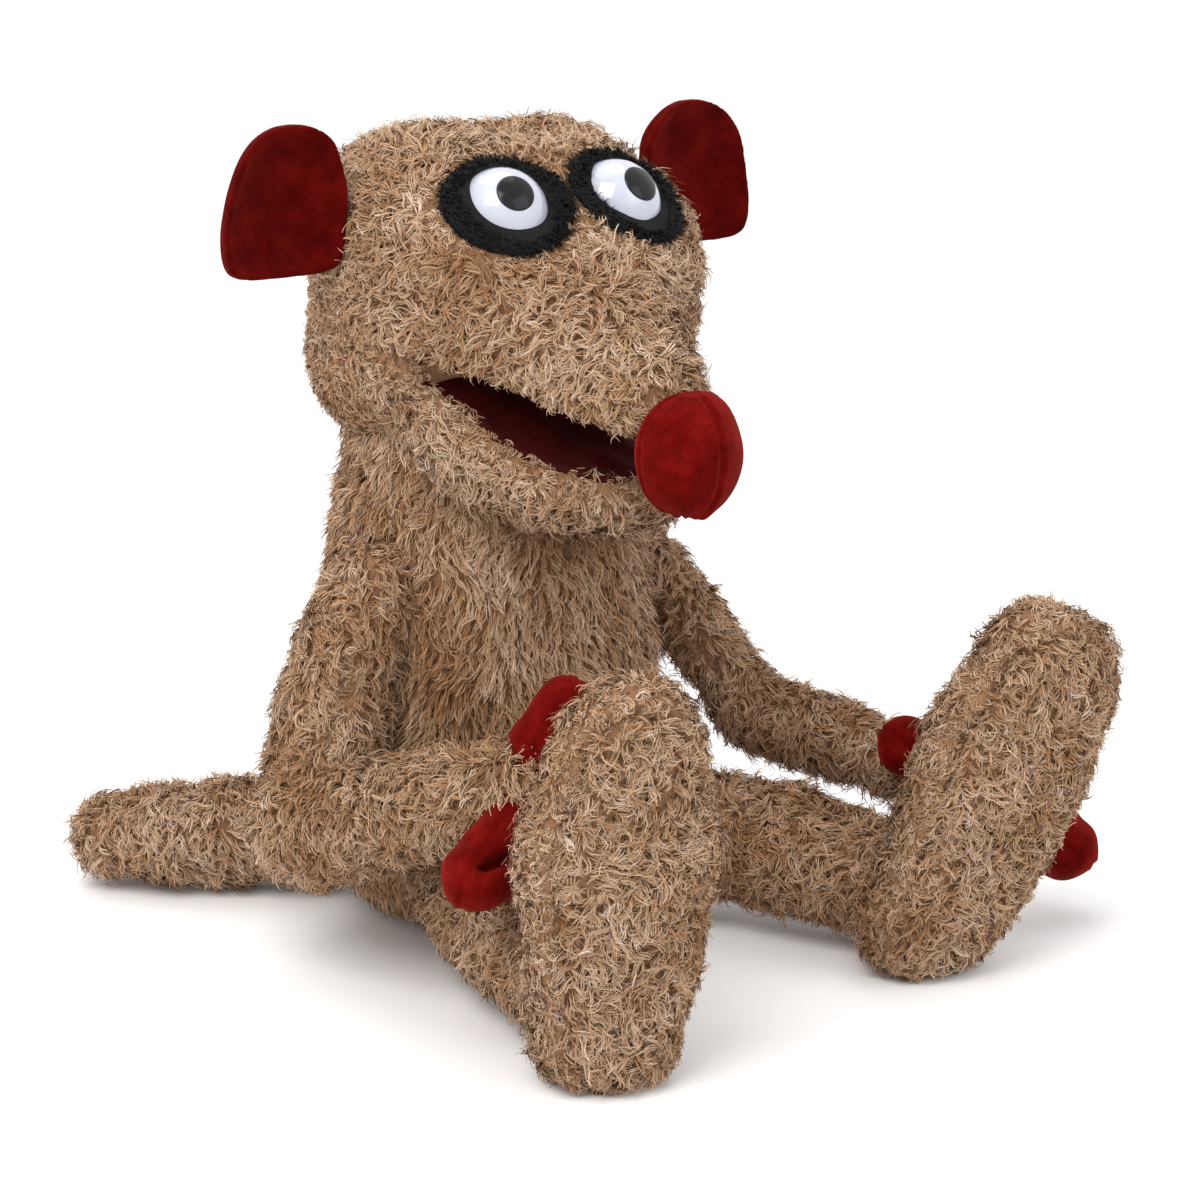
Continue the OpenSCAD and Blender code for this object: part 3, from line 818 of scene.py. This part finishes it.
def lathe(profile, turns=72):
    """Closed turned surface from (radius, height) points that start and end on the axis."""
    angles = np.arange(turns) * 2 * math.pi / turns
    rings = profile[1:-1]
    points = [(0, 0, profile[0][1])]
    points += [(r * math.cos(a), r * math.sin(a), z) for r, z in rings for a in angles]
    points.append((0, 0, profile[-1][1]))
    k = np.arange(turns)
    k2 = (k + 1) % turns
    quads = [
        np.stack([1 + i * turns + k, 1 + i * turns + k2, 1 + (i + 1) * turns + k2,
                  1 + (i + 1) * turns + k], 1)
        for i in range(len(rings) - 1)
    ]
    first = np.stack([np.zeros(turns, int), 1 + k2, 1 + k], 1)
    last_ring = 1 + (len(rings) - 1) * turns
    last = np.stack([np.full(turns, len(points) - 1), last_ring + k, last_ring + k2], 1)
    return np.array(points, float), np.concatenate(quads), np.concatenate([first, last])


def plastic(name, low, high, roughness, specular=0.55, coat=0.8):
    material, tree, shader = clear_material(name)
    place = tree.nodes.new("ShaderNodeTexCoord").outputs["Object"]
    tone = ramp_node(tree, noise_node(tree, place, 45.0, 4.0), [(0.35, low), (0.7, high)])
    tree.links.new(tone, shader.inputs["Base Color"])
    shader.inputs["Roughness"].default_value = roughness
    shader.inputs["Specular IOR Level"].default_value = specular
    shader.inputs["Coat Weight"].default_value = coat
    shader.inputs["Coat Roughness"].default_value = 0.04
    bump_node(tree, shader, [(noise_node(tree, place, 160.0, 2.0), 0.05, 0.25)])
    return material


EYE_WHITE = plastic("eye_white", (0.46, 0.48, 0.56), (0.54, 0.56, 0.64), 0.12)
PUPIL_BLACK = plastic(
    "pupil_black", (0.004, 0.004, 0.005), (0.010, 0.010, 0.012), 0.16, specular=0.25, coat=0.15
)
WASHER = plastic("washer_plastic", (0.60, 0.60, 0.58), (0.72, 0.72, 0.70), 0.45)
PUPIL_R = 6.5
for letter, side in SIDES:
    seat = EYE_SEAT * np.array([side, 1, 1])
    axes = eye_axes(side)

    def onto_face(q, seat=seat, axes=axes):
        return from_head(q @ axes.T + seat)

    arc = np.radians(np.linspace(90, -10, 30))
    dome = [(EYE_R * math.cos(a), EYE_R * math.sin(a) - EYE_SINK) for a in arc]
    rim = EYE_R * math.cos(arc[-1])
    dome += [(rim - 0.6, dome[-1][1] - 0.8), (4.0, dome[-1][1] - 1.4), (0, dome[-1][1] - 1.4)]
    dome[0] = (0, EYE_R - EYE_SINK)
    points, quads, tips = lathe(dome)
    o = mesh_object(f"eye_dome_{letter}", onto_face(points), [quads, tips], [EYE_WHITE])
    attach(o, "head")
    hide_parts(f"eye_{letter}")
    reach = math.asin(PUPIL_R / EYE_R)
    arc = np.linspace(0, reach, 12)
    cap = [((EYE_R + 0.25) * math.sin(a), (EYE_R + 0.25) * math.cos(a) - EYE_SINK) for a in arc]
    cap += [(cap[-1][0] + 0.12, cap[-1][1] - 0.35), (2.0, cap[-1][1] - 0.6), (0, cap[-1][1] - 0.6)]
    points, quads, tips = lathe(cap)
    o = mesh_object(f"eye_pupil_{letter}", onto_face(points), [quads, tips], [PUPIL_BLACK])
    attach(o, "head")
    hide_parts(f"pupil_{letter}")
    washer = frame["nodes"][f"eye_washer_{letter}"]
    washer.data.materials.clear()
    washer.data.materials.append(WASHER)

    def patch_field(p, side=side):
        h = to_head(p)
        shell = np.abs(upper_solid(h) - 0.9) - 1.3
        return smax(shell, patch_edge(h, side), 1.6)

    centre = from_head(seat)
    surface = stuffed(
        f"eye_patch_cloth_{letter}", patch_field, centre - 36, centre + 36, 1.7, BLACK_BACKING,
        riding("head"), (f"eye_patch_{letter}",),
    )

    def patch_keep(p, side=side):
        h = to_head(p)
        q = eye_point(h, side)
        return (upper_solid(h) > 1.2) & (np.hypot(q[:, 0], q[:, 1]) > EYE_R + 0.3)

    pile(
        f"eye_patch_pile_{letter}", patch_field, surface, riding("head"), keep=patch_keep,
        spacing=1.25, length=3.4, materials=BLACK_FIBRES, seed=40 + int(side),
        slot="black_plush", per_tuft=3, radius=0.7, curl=0.35, width=0.34, jitter=0.3,
        lean=(15.0, 60.0), swirl=0.5,
    )


def clear_of_eyes(h, margin):
    edge = np.minimum(patch_edge(h, -1.0), patch_edge(h, 1.0))
    return edge > margin


# -------- nose and ears
def seam_dent(distance, width, depth):
    """A sewn groove with its two rolled edges, as height to take off."""
    x = distance / width
    return depth * (np.exp(-x * x) - 0.42 * np.exp(-((np.abs(x) - 1.9) ** 2) / 0.7))


def nose_field(p):
    h = to_head(p) - NOSE
    q = h / NOSE_HALF
    r = np.linalg.norm(q, axis=1)
    d = (r - 1.0) * NOSE_HALF.min()
    turned = np.arctan2(h[:, 0], -h[:, 1])
    flat = np.hypot(h[:, 0], h[:, 1])
    for seam in (0.05, math.radians(-98), math.radians(98)):
        apart = np.abs(np.sin((turned - seam) / 2)) * 2 * np.maximum(flat, 0.5)
        d = d + seam_dent(apart, 1.1, 0.9) * slide(flat, 1.0, 6.0)
    low = slide(-q[:, 2], 0.72, 1.0)
    pleats = 0.55 * np.sin(turned * 11.0) * slide(flat, 1.0, 4.0)
    pole = np.exp(-((flat / 3.0) ** 2))
    d = d + low * (pleats + 2.6 * pole)
    top = slide(q[:, 2], 0.85, 1.0)
    d = d + top * 1.6 * pole
    return d - 0.35 * waves(h, 17.0, 51)


centre = from_head(NOSE)
stuffed(
    "nose_ball", nose_field, centre - 26, centre + 26, 1.0, VELBOA, riding("head"),
    ("nose",),
)
EAR_HALF = (23.0, 28.0)
EAR_T = 2.3
EAR_BOWL = 7.5             # depth of the hollow of an ear's front


def ear_field(p, side, root):
    h = to_head(p) - root
    x, y, z = side * h[:, 0], h[:, 1], h[:, 2]
    x = x - EAR_HALF[0] + 4.0
    z = z - 1.0
    taper = 1.0 - 0.10 * z / EAR_HALF[1]
    x = (x + EAR_HALF[0]) / taper - EAR_HALF[0]
    power = 2.7 - 0.3 * z / EAR_HALF[1]
    ring = ((np.abs(x) / EAR_HALF[0]) ** power + (np.abs(z) / EAR_HALF[1]) ** power) ** (1 / power)
    edge = (ring - 1.0) * EAR_HALF[0]
    edge = smax(edge, -x - EAR_HALF[0] - 3.0, 4.0)
    edge = smax(edge, -z - EAR_HALF[1] + 3.5, 5.0)
    bowl = EAR_BOWL * np.clip(1.0 - ring, 0, 1) ** 0.8
    gather = 0.8 * np.sin(z / 3.4 + 0.6) * slide(-x, 2.0, 18.0)
    y = y - bowl + 2.2 + gather - 0.6 * waves(h, 30.0, 61)
    thick = EAR_T + 0.9 * np.exp(-((edge / 2.6) ** 2)) + 1.4 * slide(-x, 8.0, 20.0)
    groove = 0.35 * np.exp(-((y / 0.5) ** 2)) * slide(edge, -2.0, 0.0)
    return smax(np.abs(y) - thick, edge, 2.4) + groove


for letter, side in SIDES:
    root = to_head(pivot(f"ear_fold_{letter}")[None])[0]
    centre = from_head(root + np.array([side * 16.0, 0, 0]))
    stuffed(
        f"ear_{letter}", lambda p, side=side, root=root: ear_field(p, side, root),
        centre - 34, centre + 34, 1.3, SHADED_EAR_VELBOA, riding(f"ear_{letter}"),
        (f"ear_front_{letter}", f"ear_back_{letter}"),
    )

# -------- arms and hands
ARM_R = {"R": 18.5, "L": 12.0}
CUFF_R = {"R": 14.5, "L": 11.0}
OVER_PALM = {"R": np.array([2.0, -12, 5]), "L": np.array([-0.5, 1.5, 0])}


def line_through(places):
    return [(*p, r) for p, r in places]


ARMS = {}
for letter, side in SIDES:
    a, b, c = (pivot(f"{n}_{letter}") for n in ("shoulder", "elbow", "wrist"))
    r, cuff = ARM_R[letter], CUFF_R[letter]
    ARMS[letter] = line_through([
        (a, r * 0.84),
        (mix(a, b, 0.25) + [side * 2, 2, 0], r * 0.92),
        (mix(a, b, 0.5) + [side * 3, 3, 0], r - 0.5),
        (mix(a, b, 0.7) + [side * 2, 2, 0], r),
        (mix(a, b, 0.88), r),
        (b, r + 0.5),
        (mix(b, c, 0.25), mix(r, cuff, 0.3)),
        (mix(b, c, 0.5), mix(r, cuff, 0.6)),
        (mix(b, c, 0.72), mix(r, cuff, 0.8)),
        (mix(b, c, 0.96), cuff),
        (c + OVER_PALM[letter], cuff - 0.5),
    ])


def arm_field(p, letter):
    side = -1.0 if letter == "R" else 1.0
    d = chain(p, ARMS[letter], -INSET, 7.0)
    elbow = pivot(f"elbow_{letter}")
    d = d - 0.8 * waves(p, 40.0, 71 + (side > 0)) - 0.3 * waves(p, 15.0, 73)
    fold = np.linalg.norm(p - elbow - ARM_R[letter] * np.array([-side * 0.1, -0.8, 0.85]), axis=1)
    d = d + 2.0 * np.exp(-((fold / 9.0) ** 2))
    return d + 1.6 * arm_seam(p, letter, 1.7)


ARM_SEAM_SIDE = np.array([-0.75, -0.66, 0.0])


def arm_seam(p, letter, width):
    """Weight of the seam that runs down the outer front of the upper arm."""
    start = pivot(f"shoulder_{letter}")
    down = unit(pivot(f"elbow_{letter}") - start)
    along = (p - start) @ down
    beside = (p - start) @ unit(np.cross(down, ARM_SEAM_SIDE))
    outward = (p - start) @ unit(ARM_SEAM_SIDE)
    there = slide(along, 14.0, 26.0) * slide(-along, -74.0, -60.0) * slide(outward, -4.0, 6.0)
    return there * np.exp(-((beside / width) ** 2))


PALM_END = {"R": np.array([4.0, -14, 6]), "L": np.array([12.0, -20, -5])}
THUMB = {"R": np.array([13.0, -2, 23]), "L": np.array([-24.0, 2, 18])}
THUMB_ROOT = {"R": np.array([1.0, 0, 13]), "L": np.array([-2.4, 0, 2])}
FINGER = {"R": np.array([-28.0, -4, -25]), "L": np.array([32.0, -26, -27])}
KNUCKLE = {"R": np.array([-12.0, -3, -19]), "L": np.array([23.0, -19, -19])}
PALM_R = {"R": 12.0, "L": 10.5}
FOLD_SIDE = np.array([-0.64, -0.71, 0.28])
HAND_REACH = 66.0
POCKET = {"R": 6.0, "L": 1.5}


def hand_field(p, letter):
    wrist = pivot(f"wrist_{letter}")
    end = wrist + PALM_END[letter]
    thumb, knuckle, tip = (end + w[letter] for w in (THUMB, KNUCKLE, FINGER))
    d = chain(p, [(*wrist, PALM_R[letter] - 1), (*end, PALM_R[letter])])
    lobe = chain(p, [(*(end + THUMB_ROOT[letter]), 9.5), (*thumb, 11.0)])
    mitt = chain(p, [(*mix(end, knuckle, 0.3), 10.5), (*knuckle, 13.5), (*tip, 12.0)], 0.0, 6.0)
    lobe = smin(lobe, mitt, 3.0)
    d = smin(d, lobe, 5.0)
    middle = unit(np.cross(THUMB[letter], FINGER[letter]))
    far = slide(np.linalg.norm(p - end, axis=1), 8.0, 20.0)
    d = d + seam_dent(np.abs((p - end) @ middle), 1.0, 0.7) * far
    way = unit(tip - knuckle)
    up = unit(np.cross(way, np.cross(FOLD_SIDE, way)))
    across = unit(np.cross(way, up))
    q = p - tip
    along, toward, over = q @ way, q @ up, q @ across
    over = over + 2.0 - 0.012 * (along + 14.0) ** 2
    pocket = slide(toward, 0.0, 6.0) * slide(-along, -5.5, -1.0) * slide(along, -36.0, -24.0)
    d = d + POCKET[letter] * pocket * np.exp(-((over / 2.1) ** 2))
    return d - 0.4 * waves(p, 16.0, 81)


for letter, side in SIDES:
    a, b, c = (pivot(f"{n}_{letter}") for n in ("shoulder", "elbow", "wrist"))
    place = blending(
    )
    lows = np.min([p[:3] for p in ARMS[letter]], axis=0) - 26
    highs = np.max([p[:3] for p in ARMS[letter]], axis=0) + 26
    surface = stuffed(
        f"arm_{letter}", of_side(arm_field, letter), lows, highs, CELL, BACKING, place,
        [f"{n}_{letter}" for n in ("upper_arm_skin", "upper_arm_stuffing", "forearm_skin",
                                   "forearm_stuffing")],
    )
    ARMS[letter + "_surface"] = surface
    ARMS[letter + "_place"] = place
    stuffed(
        f"hand_{letter}", of_side(hand_field, letter), c - HAND_REACH, c + HAND_REACH,
        1.5, VELBOA, blending(),
        [f"{n}_{letter}" for n in ("palm", "thumb", "finger")],
    )

# -------- legs and feet
HIP_R = 23.0
LEG_LIFT = {"R": 0.0, "L": 4.0}
FOOT_LEAN = {"R": (4.0, 2.0), "L": (3.0, 25.0)}
FOOT_DISCS = [(-23, -2, 24, 0.85), (-25, 18, 28, 0.74), (-26, 42, 30.5, 0.63),
              (-26, 66, 32, 0.58)]
FOOT_TOP = {"R": (-26, 92, 25, 0.66), "L": (-26, 88, 28, 0.62)}
LEGS = {}
for letter, side in SIDES:
    a, b = pivot(f"hip_{letter}"), pivot(f"ankle_{letter}")
    lift = LEG_LIFT[letter]
    LEGS[letter] = line_through([
        (a, HIP_R),
        (mix(a, b, 0.28) + [side * 2, 0, lift], HIP_R - 2),
        (mix(a, b, 0.54) + [side * 3, 0, lift], HIP_R - 3),
        (mix(a, b, 0.78) + [side, 0, lift / 2], HIP_R - 4),
        (b, HIP_R - 3.5),
    ])


def foot_axes(letter):
    across = axis(f"ankle_{letter}")
    yaw = np.stack([across, np.cross([0, 0, 1.0], across), [0, 0, 1.0]], 1)
    return yaw @ turn(FOOT_LEAN[letter])


def foot_point(p, letter):
    return (p - pivot(f"ankle_{letter}")) @ foot_axes(letter)


def foot_discs(letter):
    return np.array(FOOT_DISCS + [FOOT_TOP[letter]], float)


def foot_solid(q, letter, grow=0.0):
    discs = foot_discs(letter)
    z = np.clip(q[:, 2], discs[0, 1], discs[-1, 1])
    y0, r, flat = (np.interp(z, discs[:, 1], discs[:, k]) for k in (0, 2, 3))
    rx, ry = r + grow, r * flat + grow
    over = q[:, 2] - z
    ring = np.sqrt((q[:, 0] / rx) ** 2 + ((q[:, 1] - y0) / ry) ** 2 + (over / rx) ** 2)
    return (ring - 1.0) * np.minimum(rx, ry)


SOLE_Y = -36.0


def sole_rim(q, letter):
    """How far inside the sole's seam a point lies, seen from the front."""
    discs = foot_discs(letter)
    z = np.clip(q[:, 2], discs[0, 1], discs[-1, 1])
    r = np.interp(z, discs[:, 1], discs[:, 2])
    return r - 2.5 - np.hypot(q[:, 0], q[:, 2] - z)


def foot_field(p, letter):
    q = foot_point(p, letter)
    d = foot_solid(q, letter, 0.3)
    d = smax(d, SOLE_Y - 4.0 - q[:, 1], 9.0)
    inside = sole_rim(q, letter)
    front = slide(-q[:, 1], 26.0, 33.0)
    roll = 1.5 * np.exp(-((inside / 2.2) ** 2))
    groove = 1.5 * np.exp(-(((inside - 4.5) / 1.9) ** 2))
    d = d - front * (roll - groove)
    stub = chain(p, LEGS[letter][3:], -INSET)
    d = smin(d, stub, 10.0)
    d = smax(d, 1.0 - p[:, 2], 5.0)
    return d - 0.8 * waves(p, 38.0, 91) - 0.3 * waves(p, 15.0, 92)


def leg_field(p, letter):
    d = chain(p, LEGS[letter], -INSET, 7.0)
    d = smax(d, 1.0 - p[:, 2], 5.0)
    return d - 1.0 * waves(p, 44.0, 93) - 0.3 * waves(p, 16.0, 94)


for letter, side in SIDES:
    a, b = pivot(f"hip_{letter}"), pivot(f"ankle_{letter}")
    way = unit(b - a)
    LEGS[letter + "_way"] = way
    LEGS[letter + "_surface"] = stuffed(
        f"leg_{letter}", of_side(leg_field, letter),
        np.minimum(a, b) - 30, np.maximum(a, b) + 32, CELL, BACKING, riding(f"leg_{letter}"),
        (f"leg_skin_{letter}", f"leg_stuffing_{letter}"),
    )
    place = blending()
    LEGS[letter + "_place"] = place
    LEGS[letter + "_foot"] = stuffed(
        f"foot_{letter}", of_side(foot_field, letter),
        b + [-62, -62, -30], b + [72, 34, 128], CELL, BACKING, place,
        [f"{n}_{letter}" for n in ("foot_upper", "foot_sole", "foot_stuffing")],
    )

# -------- tail
root = pivot("tail_wag")
TAIL_WAY = [(0, 0, 0, 18), (-16, 16, -1, 17.8), (-32, 31, -2.5, 17.5), (-48, 47, -4, 16.5),
            (-63, 63, -6, 15.2)]
TAIL = [(*(root + w[:3]), w[3]) for w in TAIL_WAY]


def tail_field(p):
    d = chain(p, TAIL, -INSET, 6.0)
    return d - 0.7 * waves(p, 30.0, 95)


tail_surface = stuffed(
    "tail", tail_field, (-118, 20, -2), (0, 142, 50), CELL, BACKING, riding("tail"),
    ("tail_skin", "tail_stuffing"),
)

# -------- the long pile
SPACING = 2.45
BODY_PILE, SHORT_PILE = 8.8, 8.6


def torso_keep(p):
    kept = (p[:, 2] > 2.0) & (p[:, 2] < 165.0)
    for letter, _ in SIDES:
        kept &= leg_field(p, letter) > -7.0
        kept &= np.linalg.norm(p - pivot(f"shoulder_{letter}"), axis=1) > ARM_R[letter] - 6
    return kept & (tail_field(p) > -6.0)


def torso_length(p):
    return BODY_PILE * (0.35 + 0.65 * slide(chin_distance(p), 1.0, 12.0))


pile("torso_pile", torso_field, torso_surface, riding("torso"), keep=torso_keep,
     spacing=SPACING, length=torso_length, seed=101, lean=(30.0, 70.0), swirl=0.35, curl=0.9,
     tone=-0.5, stray=0.4)
pile("neck_pile", neck_field, neck_surface, neck_place,
     keep=lambda p: (p[:, 2] > 160.0) & (p[:, 2] < 205.0) & (head_field(p) > -3.0),
     spacing=SPACING, length=SHORT_PILE, seed=102, lean=(30.0, 70.0), swirl=0.4, curl=0.9,
     tone=-0.5, stray=0.4)


PILE_DEPTH = 5.2         # pile turns in over the lips down to this depth


def head_keep(p):
    h = to_head(p)
    kept = (face_solid(h) > -PILE_DEPTH) & clear_of_eyes(h, 0.6) & (h[:, 2] > 180.0)
    kept &= (palate(h) > ROOF_LIFT - 3.5) | (h[:, 1] > CHEEK_Y)
    return kept & (nose_field(p) > -1.0)


def head_length(p):
    h = to_head(p)
    edge = np.minimum(patch_edge(h, -1.0), patch_edge(h, 1.0))
    near_nose = slide(nose_field(p), 0.0, 12.0)
    lips = slide(palate(h), ROOF_LIFT, ROOF_LIFT + 9.0)
    by_eyes = 0.5 + 0.5 * slide(edge, 0.0, 9.0)
    return SHORT_PILE * by_eyes * (0.7 + 0.3 * near_nose) * (0.5 + 0.5 * lips)


def head_comb(p):
    h = to_head(p)
    away = unit(h - np.array([0, -70.0, 262.0]))
    wish = 0.5 * away + np.array([0, 0, -0.55])
    return wish @ HEAD.T


pile("head_pile", head_field, head_surface, head_place, keep=head_keep, comb=head_comb,
     spacing=SPACING, length=head_length, seed=103, curl=1.2, order=1, tone=-0.15)


def jaw_keep(p):
    h = to_head(p)
    kept = (face_solid(h) > -PILE_DEPTH) & (h[:, 1] < CHEEK_Y) & (palate(h) < ROOF_LIFT + 1.5)
    kept &= (mouth_floor(h) < 0.3) | (h[:, 1] > -33.0)
    return kept & (np.linalg.norm((p - NOD)[:, :2], axis=1) > 36.0)


def jaw_length(p):
    h = to_head(p)
    chest = np.full(len(p), CLEAR)
    for joint, degrees in CHIN_MOVES:
        chest = np.minimum(chest, torso_field(swung(p, joint, degrees)))
    under = 0.3 + 0.7 * slide(chest, 1.0, 11.0)
    return SHORT_PILE * (0.5 + 0.5 * slide(-mouth_floor(h), 0.0, 9.0)) * under


pile("jaw_pile", jaw_skin_field, jaw_surface, jaw_place, keep=jaw_keep,
     spacing=SPACING, length=jaw_length, seed=104, curl=1.1)
for letter, side in SIDES:
    wrist = pivot(f"wrist_{letter}")

    def arm_keep(p, letter=letter):
        return torso_field(p) > -3.0

    def arm_length(p, letter=letter):
        return SHORT_PILE * (1.0 - 0.7 * arm_seam(p, letter, 2.2))

    pile(f"arm_pile_{letter}", of_side(arm_field, letter), ARMS[letter + "_surface"],
         ARMS[letter + "_place"], keep=arm_keep, spacing=SPACING, length=arm_length,
         seed=105 + int(side), swirl=0.7, stray=0.6, tone=-0.35)
    ankle, way = pivot(f"ankle_{letter}"), LEGS[letter + "_way"]

    def leg_keep(p, ankle=ankle, way=way):
        return ((p - ankle) @ way < -12.0) & (torso_field(p) > -4.0)

    def foot_keep(p, ankle=ankle, way=way, letter=letter):
        return ((p - ankle) @ way >= -12.0) | (foot_solid(foot_point(p, letter), letter) < 3.0)

    def foot_length(p, letter=letter):
        q = foot_point(p, letter)
        inside = sole_rim(q, letter)
        rim = slide(inside, -6.0, -1.0) * slide(-inside, -5.5, -2.5)
        return BODY_PILE * (1.0 - 0.55 * rim * slide(-q[:, 1], 18.0, 28.0))

    pile(f"leg_pile_{letter}", of_side(leg_field, letter), LEGS[letter + "_surface"],
         riding(f"leg_{letter}"), keep=leg_keep, spacing=SPACING, length=BODY_PILE,
         seed=107 + int(side), swirl=0.8, order=1, tone=-0.6)
    pile(f"foot_pile_{letter}", of_side(foot_field, letter), LEGS[letter + "_foot"],
         LEGS[letter + "_place"], keep=foot_keep, spacing=SPACING, length=foot_length,
         seed=110 + int(side), lean=(16.0, 120.0), curl=1.4)
pile("tail_pile", tail_field, tail_surface, riding("tail"),
     keep=lambda p: torso_field(p) > -4.0, spacing=SPACING, length=SHORT_PILE, seed=114, swirl=0.7)

# -------- stage, light and camera
TARGET = np.array([0.049, -0.002, 0.109])
AZIMUTH, ELEVATION, DISTANCE = -42.0, 16.0, 1.4
SENSOR, LENS = 36.0, 113.4


def direction(azimuth, elevation):
    """Unit vector towards a viewer at these angles, in degrees."""
    a, e = math.radians(azimuth), math.radians(elevation)
    return Vector((math.sin(a) * math.cos(e), -math.cos(a) * math.cos(e), math.sin(e)))


def look_back(o, way):
    """Turns a camera or light placed along way to face the object."""
    o.rotation_mode = "QUATERNION"
    o.rotation_quaternion = (-way).to_track_quat("-Z", "Y")


camera = bpy.data.objects.new("camera", bpy.data.cameras.new("camera"))
bpy.context.scene.collection.objects.link(camera)
back = direction(AZIMUTH, ELEVATION)
camera.location = Vector(TARGET) + back * DISTANCE
look_back(camera, back)
camera.data.sensor_width = SENSOR
camera.data.lens = LENS
bpy.context.scene.camera = camera
bpy.context.scene.view_settings.view_transform = "Standard"

floor_material, tree, shader = clear_material("pale_floor")
shader.inputs["Base Color"].default_value = (0.97, 0.97, 0.97, 1.0)
shader.inputs["Roughness"].default_value = 0.9
FLOOR_HALF = 3000.0
CORNERS = np.array([(-1, -1, 0), (1, -1, 0), (1, 1, 0), (-1, 1, 0)])
floor = mesh_object("floor", FLOOR_HALF * CORNERS, [[(0, 1, 2, 3)]], [floor_material])


LIT_POINT = Vector((0, 0, 0.14))


def soft_light(name, azimuth, elevation, distance, size, watts, colour):
    way = direction(azimuth, elevation)
    light = bpy.data.lights.new(name, "AREA")
    light.shape = "RECTANGLE"
    light.size, light.size_y = size
    light.energy, light.color = watts, colour
    o = bpy.data.objects.new(name, light)
    bpy.context.scene.collection.objects.link(o)
    o.location = LIT_POINT + way * distance
    look_back(o, way)


soft_light("key", -70.0, 50.0, 1.5, (0.9, 0.9), 13.0, (1.0, 0.98, 0.96))
soft_light("fill", 15.0, 30.0, 1.6, (1.0, 0.9), 3.0, (0.97, 0.98, 1.0))
soft_light("top", 160.0, 70.0, 1.4, (1.2, 1.0), 4.0, (1.0, 1.0, 1.0))

world = bpy.data.worlds.new("studio")
bpy.context.scene.world = world
world.use_nodes = True
world.node_tree.nodes["Background"].inputs["Color"].default_value = (1.0, 1.0, 1.0, 1.0)
world.node_tree.nodes["Background"].inputs["Strength"].default_value = 1.0
